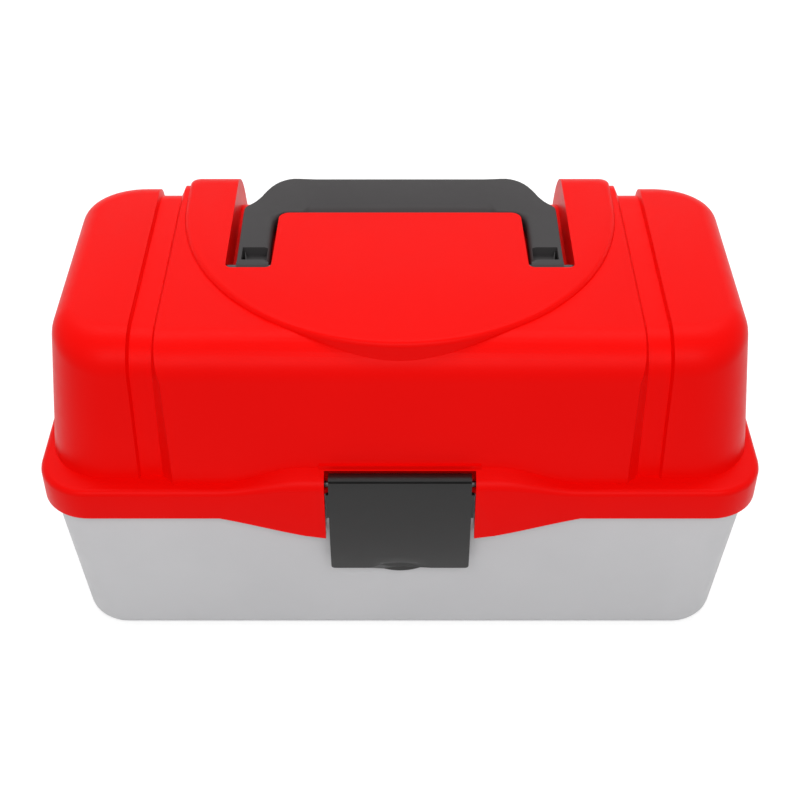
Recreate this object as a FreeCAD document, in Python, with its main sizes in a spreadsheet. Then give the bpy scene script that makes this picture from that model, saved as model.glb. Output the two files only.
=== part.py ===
import FreeCAD, Part
import Sketcher
import math
import os
import re

# Cantilever-tray tackle box, millimetres. X runs left to right, Y front to back, +Z up.
# The origin is the centre of the tub's underside; the front of the lid's rim is at -Y.
# Opening the lid swings both trays on parallelograms whose rear crank is the lid itself.

doc = FreeCAD.newDocument("TackleBox")
sheet = doc.addObject("Spreadsheet::Sheet", "sizes")

SIZES = [
    # case and rim
    ("case_length", 350, "over the lid's rim, left to right"),
    ("case_depth", 180, "over the lid's rim, front to back"),
    ("rim_foot_height", 90, "height of the rim skirt's lower edge"),
    ("rim_height", 17, "height of the rim skirt"),
    ("rim_corner", 25, "plan radius of the rim's corners"),
    ("rim_edge", 3, "rounding of the rim's upper edge"),
    ("skirt_wall", 2, "thickness of the rim skirt"),
    ("skirt_gap", 0.9, "gap between skirt and tub"),
    ("seat_gap", 0.3, "gap between the lid's ledge and the tub's edge"),
    ("wall", 2.5, "wall of tub and lid"),
    # tub
    ("tub_draft", 4.2, "degrees"),
    ("tub_corner", 22, "plan radius of the tub's corners"),
    ("tub_foot_round", 8, "rounding where the walls meet the floor"),
    # lid
    ("lid_rise", 74, "lid's flat top above the rim"),
    ("lid_draft", 6.2, "degrees"),
    ("lid_corner", 30, "plan radius of the lid's corners"),
    ("lid_shoulder", 21, "rounding from front and back walls to the top"),
    ("lid_end_shoulder", 10, "rounding from end walls to the top"),
    ("end_wall_inset", 4.5, "end wall inside the rim's face"),
    ("middle_inset", 6.5, "middle block's wall inside the rim's face"),
    ("end_inset", 9.9, "end block's wall inside the rim's face"),
    ("groove_inset", 12, "groove floor inside the rim's face"),
    ("groove_depth", 2.7, "groove floor below the top"),
    ("groove_from_end", 50.7, "groove floor's outer edge from the rim's end face"),
    ("groove_width", 10.3, "width of the groove floor"),
    ("end_bevel", 2, "bevel of the end blocks"),
    ("middle_bevel", 2.5, "bevel of the middle block"),
    # raised boss round the handle
    ("boss_rise", 2.4, "boss above the lid's top"),
    ("boss_half", 109.6, "half the boss's width"),
    ("boss_front_inset", 17, "boss's front tip inside the rim's face"),
    ("boss_longer", 8.4, "boss's front half ellipse longer than half its width"),
    ("boss_back_inset", 10, "boss's back edge inside the rim's back face"),
    ("boss_edge", 3.5, "rounding of the boss's edge"),
    ("boss_back_edge", 12, "rounding of the boss's back edge"),
    # handle recess
    ("recess_depth", 13.6, "recess floor below the boss's top"),
    ("recess_half", 84.4, "half the recess's width"),
    ("recess_back_round", 20, "rounding from the recess floor to the lid's back"),
    ("recess_front", 12.9, "slot's front wall before the middle"),
    ("recess_corner", 3, "corner radius of the slots"),
    ("tongue_gap", 1.5, "gap between tongue and handle legs"),
    ("tongue_narrowing", 1.2, "loss of half width towards the back"),
    ("tongue_back", 35.5, "tongue's back edge behind the middle"),
    ("tongue_corner", 5, "corner radius of the tongue"),
    # handle
    ("handle_end_gap", 1.6, "gap between the handle's barrels and the slots' front walls"),
    ("handle_top_drop", 0.4, "handle's top below the boss's top"),
    ("handle_plate", 9, "thickness of the handle's legs"),
    ("handle_gap", 0.3, "gap between grip and recess floor"),
    ("handle_side_gap", 5.1, "gap between the handle and the recess walls"),
    ("handle_leg", 15.6, "width of a leg"),
    ("handle_barrel", 2.75, "radius of the leg's barrel"),
    ("grip_gap", 1.7, "gap between grip and tongue"),
    ("grip_width", 34, "front to back"),
    ("grip_end_in", 20.3, "back edge's end inside the handle's side"),
    ("neck_in", 8.9, "neck between leg and grip inside the handle's side"),
    ("grip_neck", 17, "neck behind the grip's front edge"),
    ("grip_edge", 4, "rounding of the grip's lower edges"),
    ("grip_round_half", 47.5, "the grip's upper edges are rounded this far from the middle"),
    ("grip_front_round", 8.5, "rounding of the grip's upper front edge"),
    ("grip_back_round", 4, "rounding of the grip's upper back edge"),
    ("window_outer", 2.1, "cheek outside the pocket in the leg's end"),
    ("window_inner", 1.2, "cheek inside the pocket"),
    ("window_length", 10.6, "pocket's length behind the barrel"),
    ("window_depth", 6, "pocket below the handle's top"),
    ("handle_neck_in", 3, "grip's end inside the neck"),
    ("handle_pin_r", 1.3, "radius"),
    ("handle_pin_wall", 1.5, "wall round the handle pins' seats"),
    ("handle_pin_stub", 1, "handle pin past the recess walls"),
    # latch
    ("latch_half", 34, "half the latch's width"),
    ("latch_length", 57.3, "upper to lower edge"),
    ("latch_rise", 6.3, "latch's upper edge above the rim"),
    ("latch_plate", 3, "thickness of the latch's plate"),
    ("latch_bow", 157, "radius of the latch's bowed face"),
    ("latch_stand", 3, "latch's face in front of the rim's face"),
    ("latch_pivot_in", 2.8, "latch pin inside the rim's face"),
    ("latch_barrel", 3, "radius of the latch's barrel"),
    ("latch_pin_r", 1.5, "radius"),
    ("latch_pin_grip", 5, "latch pin in the lid, each side of the cut-out"),
    ("latch_taper", 1, "loss of half width at the lower edge"),
    ("latch_gap", 2, "gap between latch and cut-out, each side"),
    ("overcut", 0.1, "cut-out for the latch goes past the skirt's inside"),
    ("latch_lip_half", 15, "half the finger lip's width"),
    ("latch_lip_drop", 2.2, "finger lip below the latch's edge"),
    ("catch_up", 20, "catch's underside above the latch's lower edge"),
    ("catch_half", 22, "half the catch's width"),
    ("catch_inset", 0.9, "catch's face inside the rim's face"),
    ("catch_thick", 3.4, "thickness of the catch"),
    ("hook_thick", 4.4, "thickness of the latch's hook"),
    ("hook_reach", 1.15, "hook behind the catch's face"),
    ("rib_width", 1.2, "width of the ribs beside the latch"),
    ("rib_inset", 1, "ribs beside the latch inside the rim's face"),
    ("rib_below", 23, "ribs' widest point below the latch's pin"),
    ("rib_root", 8.5, "ribs' back edge, inside the tub's wall, behind their face"),
    ("hook_gap", 0.4, "gap between hook and catch"),
    ("pocket_depth", 11, "latch pocket behind the rim's face"),
    ("pocket_roof", 8.4, "pocket's roof above the rim"),
    # brow of the rim round the latch
    ("brow_foot", 86, "brow's lower edge starts here, from the middle"),
    ("brow_full", 48, "brow is at full height here, from the middle"),
    ("brow_drop", 12, "lower edge dips by this at the latch"),
    ("brow_edge_rise", 5, "outer edge's rise"),
    ("brow_root_rise", 9.4, "rise where it meets the wall"),
    ("brow_bulge", 1.6, "how far the brow stands out"),
    # back hinge
    ("hinge_back", 5, "hinge axis behind the rim's face"),
    ("hinge_drop", 4, "hinge axis below the skirt's edge"),
    ("hinge_barrel", 4.3, "radius"),
    ("hinge_pin_r", 1.75, "radius"),
    ("hinge_from_end", 65, "hinge's middle inside the rim's end face"),
    ("hinge_knuckle", 10, "length of a tub knuckle"),
    ("hinge_lid_knuckle", 19.4, "length of the lid's knuckle"),
    ("knuckle_gap", 0.3, "side gap between knuckles"),
    # trays and arms
    ("tray_end_inset", 18.5, "trays' ends inside the rim's end faces"),
    ("tray_wall", 1.8, "tray walls and floor"),
    ("tray_head_room", 2.3, "upper tray's edge below the recess"),
    ("tray_corner", 20, "radius of the front corners"),
    ("tray_back_corner", 4, "radius of the back corners"),
    ("cross_wall", 1.6, "thickness of a tray's inner walls"),
    ("bay_wall", 52, "fixed cross wall from the middle"),
    ("lower_tray_sink", 5.7, "lower tray's underside below the tub's edge"),
    ("lower_front_inset", 18, "lower tray's front inside the rim's face"),
    ("ear_reach", 13, "lower tray's lid pin behind its back edge"),
    ("lower_front_row", 60, "lower tray's front row of cells, with both walls"),
    ("tray_stack_gap", 1.5, "gap between the trays"),
    ("upper_front_inset", 24, "upper tray's front inside the rim's face"),
    ("upper_pivot_cover", 8, "upper tray's back edge behind its lid pin"),
    ("upper_front_row", 48, "upper tray's front row of cells, with both walls"),
    ("lower_pivot_rise", 12.2, "lid pin above the lower tray's underside"),
    ("upper_pivot_rise", 6.5, "lid pin above the upper tray's underside"),
    ("crank_angle", 36, "degrees above the forward direction, lid shut"),
    ("link_back", 56, "front pivots before the lid's pivots"),
    ("link_up", 2, "front pivots above the lid's pivots"),
    ("arm_thick", 2.5, "thickness of an arm"),
    ("arm_half", 6, "half the width of an arm"),
    ("arm_gap", 0.8, "gap between tray and arm"),
    ("boss_gap", 0.5, "side gap at the pivot bosses"),
    ("pivot_r", 3, "radius of the tray and arm pins"),
    ("pivot_boss", 6, "radius of the pivot bosses"),
    ("pivot_pin_grip", 6, "tray pin in the lid, arm foot pin in the tub"),
    ("pin_head", 4.2, "radius of the pins' heads"),
    ("pin_head_thick", 1.4, "thickness of the pins' heads"),
    ("ear_round", 7, "radius of the lower tray's ears"),
    # dividers
    ("divider_thick", 1.5, "thickness"),
    ("divider_gap", 0.15, "gap in the slots"),
    ("divider_pitch", 104, "side dividers from the middle"),
    ("divider_down", 2, "divider below the tray's edge"),
    ("slot_rib", 1.2, "width of a slot rib"),
    ("slot_depth", 1.5, "depth of a slot rib"),
    # fits
    ("seat_fit", 0.02, "radial gap of a pin in its seat"),
    ("running_fit", 0.06, "radial gap of a pin in a turning hole"),
]
for row, (name, number, note) in enumerate(SIZES, start=1):
    sheet.set(f"A{row}", name)
    sheet.set(f"B{row}", str(number))
    sheet.setAlias(f"B{row}", name)
    sheet.set(f"C{row}", note)
doc.recompute()
NAMES = {name for name, _, _ in SIZES}
WORD = re.compile(r"[A-Za-z_]\w*")


def size(name):
    """The number in a named cell."""
    return float(sheet.get(name))


def bound(text):
    """An expression with every size written as a cell of the sheet."""
    return WORD.sub(lambda m: "sizes." + m.group(0) if m.group(0) in NAMES else m.group(0), str(text))


def bind(thing, **properties):
    for name, text in properties.items():
        thing.setExpression(name.replace("__", "."), bound(text))


def neg(text):
    return f"-({text})"


# Heights and places that several pieces share, as expressions of the sizes.
RIM_TOP = "(rim_foot_height + rim_height)"
LEDGE = f"({RIM_TOP} - wall)"
TUB_TOP = f"({LEDGE} - seat_gap)"
LID_TOP = f"({RIM_TOP} + lid_rise)"
BOSS_REACH = "(boss_half + boss_longer)"
BOSS_CENTRE = f"(boss_front_inset - case_depth / 2 + {BOSS_REACH})"
BOSS_BACK = "(case_depth / 2 - boss_back_inset)"
BOSS_TOP = f"({LID_TOP} + boss_rise)"
RECESS_FLOOR = f"({BOSS_TOP} - recess_depth)"
RIM_FRONT = "(-case_depth / 2)"
TUB_SLOPE = "tan(tub_draft * 1 deg)"
LID_SLOPE = "tan(lid_draft * 1 deg)"
ROUND_RISE = f"({RECESS_FLOOR} - recess_back_round - {RIM_TOP})"
SKIRT_OFFSET = "(skirt_wall + skirt_gap)"
TUB_HALF_LENGTH = f"(case_length / 2 - {SKIRT_OFFSET})"
TUB_HALF_DEPTH = f"(case_depth / 2 - {SKIRT_OFFSET})"
GROOVE_OUTER = "(case_length / 2 - groove_from_end)"
GROOVE_INNER = f"({GROOVE_OUTER} - groove_width)"
HINGE_PLACE = "(case_length / 2 - hinge_from_end)"
HINGE = ("(case_depth / 2 + hinge_back)", "(rim_foot_height - hinge_drop)")
RECESS_ROUND = (f"(case_depth / 2 - middle_inset - {ROUND_RISE} * {LID_SLOPE} - recess_back_round)",
                f"({RECESS_FLOOR} - recess_back_round)")
HANDLE_TOP = f"({BOSS_TOP} - handle_top_drop)"
HANDLE_PIVOT = ("(handle_end_gap + handle_barrel - recess_front)", f"({HANDLE_TOP} - handle_barrel)")
HANDLE_HALF = "(recess_half - handle_side_gap)"
TONGUE_HALF = f"({HANDLE_HALF} - handle_leg - tongue_gap)"
GRIP_FRONT = "(tongue_back + grip_gap)"
GRIP_BACK = f"({GRIP_FRONT} + grip_width)"
LATCH_TOP = f"({RIM_TOP} + latch_rise)"
LATCH_BOTTOM = f"({LATCH_TOP} - latch_length)"
CATCH_HEIGHT = f"({LATCH_BOTTOM} + catch_up)"
LATCH_PIVOT = (f"({RIM_FRONT} + latch_pivot_in)", f"({LATCH_TOP} - latch_barrel)")
TRAY_HALF = "(case_length / 2 - tray_end_inset)"
LOWER_FLOOR = f"({TUB_TOP} - lower_tray_sink)"
TRAY_HEIGHT = f"(({RECESS_FLOOR} - wall - tray_head_room - {LOWER_FLOOR} - tray_stack_gap) / 2)"
UPPER_FLOOR = f"({LOWER_FLOOR} + {TRAY_HEIGHT} + tray_stack_gap)"
CUTOUT_HALF = "(latch_half + latch_gap)"


def lid_pivot(height):
    """The point at a height on the crank line, which runs from the hinge forwards and up."""
    return (f"({HINGE[0]} - ({height} - {HINGE[1]}) / tan(crank_angle * 1 deg))", height)


def arm_pivot(point):
    return (f"({point[0]} - link_back)", f"({point[1]} + link_up)")


LOWER_LID_PIVOT = lid_pivot(f"({LOWER_FLOOR} + lower_pivot_rise)")
UPPER_LID_PIVOT = lid_pivot(f"({UPPER_FLOOR} + upper_pivot_rise)")
ARM_FOOT = arm_pivot(HINGE)
LOWER_ARM_PIVOT = arm_pivot(LOWER_LID_PIVOT)
UPPER_ARM_PIVOT = arm_pivot(UPPER_LID_PIVOT)
LATCH_PIN_END = f"({CUTOUT_HALF} + latch_pin_grip)"
HANDLE_PIN = (f"({TONGUE_HALF} - wall - handle_pin_stub)", "(recess_half + wall + handle_pin_stub)")
TRAY_PIN_END = f"({TRAY_HALF} + boss_gap + pivot_pin_grip)"
ARM = (f"({TRAY_HALF} + arm_gap)", f"({TRAY_HALF} + arm_gap + arm_thick)")
ARM_PIN_END = f"({ARM[1]} + boss_gap + pivot_pin_grip)"
HEAD_END = f"({TRAY_HALF} - tray_wall - knuckle_gap)"


# --- construction helpers -------------------------------------------------------------------

def box(name, x, y, z):
    """A box between the given pairs of limits."""
    thing = doc.addObject("Part::Box", name)
    for axis, side, (low, high) in zip("xyz", ("Length", "Width", "Height"), (x, y, z)):
        thing.setExpression(f"Placement.Base.{axis}", bound(low))
        thing.setExpression(side, bound(f"({high}) - ({low})"))
    return thing


def rod(name, span, centre, radius):
    """A cylinder along X over a span, at a point given in Y and Z."""
    thing = doc.addObject("Part::Cylinder", name)
    thing.Placement = FreeCAD.Placement(FreeCAD.Vector(), FreeCAD.Rotation(FreeCAD.Vector(0, 1, 0), 90))
    bind(thing, Placement__Base__x=span[0], Placement__Base__y=centre[0], Placement__Base__z=centre[1],
         Radius=radius, Height=f"({span[1]}) - ({span[0]})")
    return thing


def taper_block(name, half_x, half_y, draft_x, draft_y, z):
    """A block whose walls lean in by the given slopes from z[0] up to z[1]; negative slopes lean out."""
    thing = doc.addObject("Part::Wedge", name)
    thing.Placement = FreeCAD.Placement(FreeCAD.Vector(), FreeCAD.Rotation(FreeCAD.Vector(1, 0, 0), 90))
    rise = f"(({z[1]}) - ({z[0]}))"
    bind(thing, Placement__Base__z=z[0], Ymin="0", Ymax=rise,
         Xmin=neg(half_x), Xmax=half_x, Zmin=neg(half_y), Zmax=half_y,
         X2min=f"{rise} * {draft_x} - ({half_x})", X2max=f"({half_x}) - {rise} * {draft_x}",
         Z2min=f"{rise} * {draft_y} - ({half_y})", Z2max=f"({half_y}) - {rise} * {draft_y}")
    return thing


PLANES = {
    "XY": FreeCAD.Rotation(),
    "YZ": FreeCAD.Rotation(FreeCAD.Vector(0, 1, 0), FreeCAD.Vector(0, 0, 1), FreeCAD.Vector(1, 0, 0)),
    "XZ": FreeCAD.Rotation(FreeCAD.Vector(1, 0, 0), FreeCAD.Vector(0, 0, 1), FreeCAD.Vector(0, -1, 0)),
}
# Each plane's normal and whether it points along that axis or against it.
NORMALS = {"XY": ("z", 1), "YZ": ("x", 1), "XZ": ("y", -1)}
# Outlines are drawn on a circle of this radius before their distances are set.
FIRST_RADIUS = 100
# Two places nearer than this are one place.
NEAR = 1e-4


def outline(name, plane, points, place):
    """A closed straight-sided outline on a plane, each of its corners held by two bound distances."""
    sketch = doc.addObject("Sketcher::SketchObject", name)
    sketch.Placement = FreeCAD.Placement(FreeCAD.Vector(), PLANES[plane])
    sketch.setExpression(f"Placement.Base.{NORMALS[plane][0]}", bound(place))
    count = len(points)
    turn = 2 * math.pi / count
    starts = [FreeCAD.Vector(math.cos(i * turn), math.sin(i * turn), 0) * FIRST_RADIUS for i in range(count)]
    sketch.addGeometry([Part.LineSegment(starts[i], starts[(i + 1) % count]) for i in range(count)])
    for i in range(count):
        sketch.addConstraint(Sketcher.Constraint("Coincident", i, 2, (i + 1) % count, 1))
    for i, point in enumerate(points):
        for kind, start, text in zip(("DistanceX", "DistanceY"), starts[i], point):
            index = sketch.addConstraint(Sketcher.Constraint(kind, i, 1, start))
            sketch.setExpression(f"Constraints[{index}]", bound(text))
    return sketch


def prism(name, plane, points, span):
    """A straight-sided outline extruded over a span along its plane's normal."""
    start = span[0] if NORMALS[plane][1] > 0 else span[1]
    thing = doc.addObject("Part::Extrusion", name)
    thing.Base = outline(name + "_outline", plane, points, start)
    thing.DirMode = "Normal"
    thing.Solid = True
    bind(thing, LengthFwd=f"({span[1]}) - ({span[0]})")
    return thing


def fuse(name, parts):
    thing = doc.addObject("Part::MultiFuse", name)
    thing.Shapes = parts
    thing.Refine = True
    return thing


def common(name, parts):
    thing = doc.addObject("Part::MultiCommon", name)
    thing.Shapes = parts
    return thing


def cut(name, base, tools):
    tool = tools[0] if len(tools) == 1 else fuse(name + "_tools", tools)
    thing = doc.addObject("Part::Cut", name)
    thing.Base = base
    thing.Tool = tool
    return thing


def settle(thing):
    doc.recompute()
    return thing.Shape


def finish_edges(kind, name, base, sizes_of):
    """A fillet or chamfer of the edges for which sizes_of() gives the two sizes at their ends."""
    chosen = []
    for number, edge in enumerate(settle(base).Edges, start=1):
        pair = sizes_of(edge)
        if pair:
            chosen.append((number,) + pair)
    if not chosen:
        raise RuntimeError(f"{name}: no edge to finish")
    thing = doc.addObject(kind, name)
    thing.Base = base
    thing.Edges = chosen
    return thing


def fillet(name, base, radius, pick):
    return finish_edges("Part::Fillet", name, base, lambda edge: (radius, radius) if pick(edge) else None)


def chamfer(name, base, length, pick):
    return finish_edges("Part::Chamfer", name, base, lambda edge: (length, length) if pick(edge) else None)


def ends(edge):
    return edge.Vertexes[0].Point, edge.Vertexes[-1].Point


def upright(edge):
    """True for an edge that rises from one level to another more than it runs."""
    a, b = ends(edge)
    return abs(a.z - b.z) > abs(a.x - b.x) + abs(a.y - b.y)


def at_level(level):
    return lambda edge: all(abs(v.Z - level) < NEAR for v in edge.Vertexes)


def at_top(shape):
    return at_level(max(v.Z for v in shape.Vertexes))


def at_foot(shape):
    return at_level(min(v.Z for v in shape.Vertexes))


def level_along(edge, letter):
    """True for an edge whose ends share one coordinate."""
    a, b = ends(edge)
    return abs(getattr(a, letter) - getattr(b, letter)) < NEAR


def radius_within(name, offset):
    """A rounding's radius on a form that has moved in by an offset, which is nothing or a named wall."""
    return size(name) - (size(offset) if offset in NAMES else 0)


def mirrored_pair(low, high):
    """The same span on the left and on the right of the middle."""
    return {"left": (neg(high), neg(low)), "right": (low, high)}


def hinge_middle(side):
    return neg(HINGE_PLACE) if side == "left" else HINGE_PLACE


# --- lid ------------------------------------------------------------------------------------

def lid_form(name, inset, depth, offset):
    """One closed form of the lid: drafted walls, round corners and shoulders, moved in by an offset."""
    foot = f"({LEDGE} - {offset})"
    spread = f"({RIM_TOP} - {foot}) * {LID_SLOPE} - {offset}"
    block = taper_block(name + "_block", f"(case_length / 2 - end_wall_inset + {spread})",
                        f"(case_depth / 2 - {inset} + {spread})", LID_SLOPE, LID_SLOPE,
                        (foot, f"({LID_TOP} - {depth} - {offset})"))
    cornered = fillet(name + "_corners", block, radius_within("lid_corner", offset), upright)
    side = radius_within("lid_shoulder", offset)
    end = radius_within("lid_end_shoulder", offset)
    top = at_top(settle(cornered))

    def shoulder(edge):
        if not top(edge):
            return None
        if level_along(edge, "y"):
            return (side, side)
        if level_along(edge, "x"):
            return (end, end)
        a, b = ends(edge)
        return (end, side) if (a.x + b.x) * (a.y + b.y) > 0 else (side, end)

    return finish_edges("Part::Fillet", name, cornered, shoulder)


def side_edges(shape, innermost):
    """Picks the edges of the face across X nearest to or farthest from the middle, but not its foot."""
    distances = [abs(v.X) for v in shape.Vertexes]
    plane = min(distances) if innermost else max(distances)
    foot = min(v.Z for v in shape.Vertexes)

    def pick(edge):
        a, b = ends(edge)
        return all(abs(abs(point.x) - plane) < NEAR for point in (a, b)) and max(a.z, b.z) > foot + NEAR

    return pick


def lid_solid(prefix, offset):
    """The lid as a solid: end blocks, grooves and middle block, each a drafted form cut to its stretch."""
    reach = ("-case_depth", "case_depth")
    height = ("rim_foot_height", f"({LID_TOP} + wall)")
    parts = [lid_form(prefix + "_groove", "groove_inset", "groove_depth", offset)]
    middle_form = lid_form(prefix + "_middle_form", "middle_inset", "0", offset)
    half = f"({GROOVE_INNER} - {offset})"
    middle = common(prefix + "_middle", [middle_form,
                                         box(prefix + "_middle_span", (neg(half), half), reach, height)])
    parts.append(chamfer(prefix + "_middle_bevelled", middle, size("middle_bevel"),
                         side_edges(settle(middle), False)))
    end_form = lid_form(prefix + "_end_form", "end_inset", "0", offset)
    for side, span in mirrored_pair(f"({GROOVE_OUTER} + {offset})", "case_length").items():
        block = common(f"{prefix}_{side}", [end_form, box(f"{prefix}_{side}_span", span, reach, height)])
        parts.append(chamfer(f"{prefix}_{side}_bevelled", block, size("end_bevel"),
                             side_edges(settle(block), True)))
    return parts


def boss(prefix, offset):
    """The raised field round the handle: a half ellipse to the front, straight sides and a rounded back."""
    foot = f"({LID_TOP} - 2 * lid_shoulder)"
    top = f"({BOSS_TOP} - {offset})"
    ellipse = doc.addObject("Part::Ellipse", prefix + "_ellipse")
    ellipse.Placement = FreeCAD.Placement(FreeCAD.Vector(), FreeCAD.Rotation(FreeCAD.Vector(0, 0, 1), 90))
    bind(ellipse, MajorRadius=f"{BOSS_REACH} - {offset}", MinorRadius=f"boss_half - {offset}",
         Placement__Base__y=BOSS_CENTRE, Placement__Base__z=foot)
    front = doc.addObject("Part::Extrusion", prefix + "_front")
    front.Base = ellipse
    front.DirMode = "Normal"
    front.Solid = True
    bind(front, LengthFwd=f"{top} - {foot}")
    half = f"(boss_half - {offset})"
    front_span = box(prefix + "_front_span", (neg(half), half), ("-case_depth", BOSS_CENTRE), (foot, top))
    front_half = common(prefix + "_front_half", [front, front_span])
    back = box(prefix + "_back", (neg(half), half), (BOSS_CENTRE, f"({BOSS_BACK} - {offset})"), (foot, top))
    top_edge = at_top(settle(back))
    rear = max(v.Y for v in settle(back).Vertexes)
    rounded = fillet(prefix + "_back_round", back, radius_within("boss_back_edge", offset),
                     lambda edge: top_edge(edge) and all(abs(v.Y - rear) < NEAR for v in edge.Vertexes))
    whole = fuse(prefix + "_whole", [front_half, rounded])
    if offset == "wall":
        return whole
    top_edge = at_top(settle(whole))
    return fillet(prefix, whole, size("boss_edge"),
                  lambda edge: top_edge(edge) and not level_along(edge, "y"))


def recess(name, offset):
    """The handle's recess: slots beside a tongue, joined behind it, the floor rounding down at the back."""
    outer = f"(recess_half + {offset})"
    tongue = f"({TONGUE_HALF} - {offset})"
    tongue_back = f"({TONGUE_HALF} - tongue_narrowing - {offset})"
    front = f"(-recess_front - {offset})"
    turn = f"(tongue_back - {offset})"
    points = [(neg(outer), front), (neg(tongue), front), (neg(tongue_back), turn), (tongue_back, turn),
              (tongue, front), (outer, front), (outer, "case_depth"), (neg(outer), "case_depth")]
    block = prism(name + "_block", "XY", points, (f"({RECESS_FLOOR} - {offset})", f"({BOSS_TOP} + wall)"))

    def corner(edge):
        place = ends(edge)[0].y
        if not upright(edge) or place > size("tongue_back") + NEAR:
            return None
        radius = size("tongue_corner") if place > 0 else size("recess_corner")
        return (radius, radius)

    slots = finish_edges("Part::Fillet", name + "_slots", block, corner)
    span = (neg(outer), outer)
    back_box = box(name + "_back_box", span, (RECESS_ROUND[0], "case_depth"),
                   (RECESS_ROUND[1], f"({BOSS_TOP} + wall)"))
    back_rod = rod(name + "_back_rod", span, RECESS_ROUND, f"recess_back_round - {offset}")
    return fuse(name, [slots, cut(name + "_back", back_box, [back_rod])])


# How far the brow has risen, at shares of the way from its foot to its full height.
BROW_RISE = [(0, 0), (0.4, 0.38), (0.7, 0.78), (1, 1)]


def brow():
    """The rim's thickened stretch that rises and dips round the latch."""
    stations = [(f"(brow_foot + (brow_full - brow_foot) * {way})", rise) for way, rise in BROW_RISE]
    stations.append((CUTOUT_HALF, 1))
    places = [(neg(x), x, rise) for x, rise in stations] + [(x, x, rise) for x, rise in reversed(stations)]
    sections = []
    back = f"({RIM_FRONT} + skirt_wall)"
    root = f"({RIM_FRONT} + middle_inset + wall / 2)"
    for number, (place, distance, rise) in enumerate(places):
        low = f"(rim_foot_height - brow_drop * (brow_foot - {distance}) / (brow_foot - {CUTOUT_HALF}))"
        face = f"({RIM_FRONT} - brow_bulge * {rise})"
        points = [(back, low), (face, low), (face, f"({RIM_TOP} + brow_edge_rise * {rise})"),
                  (root, f"({RIM_TOP} + brow_root_rise * {rise})"), (root, LEDGE), (back, LEDGE)]
        sections.append(outline(f"brow_section_{number}", "YZ", points, place))
    loft = doc.addObject("Part::Loft", "brow")
    loft.Sections = sections
    loft.Solid = True
    loft.Ruled = True
    return loft


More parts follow.
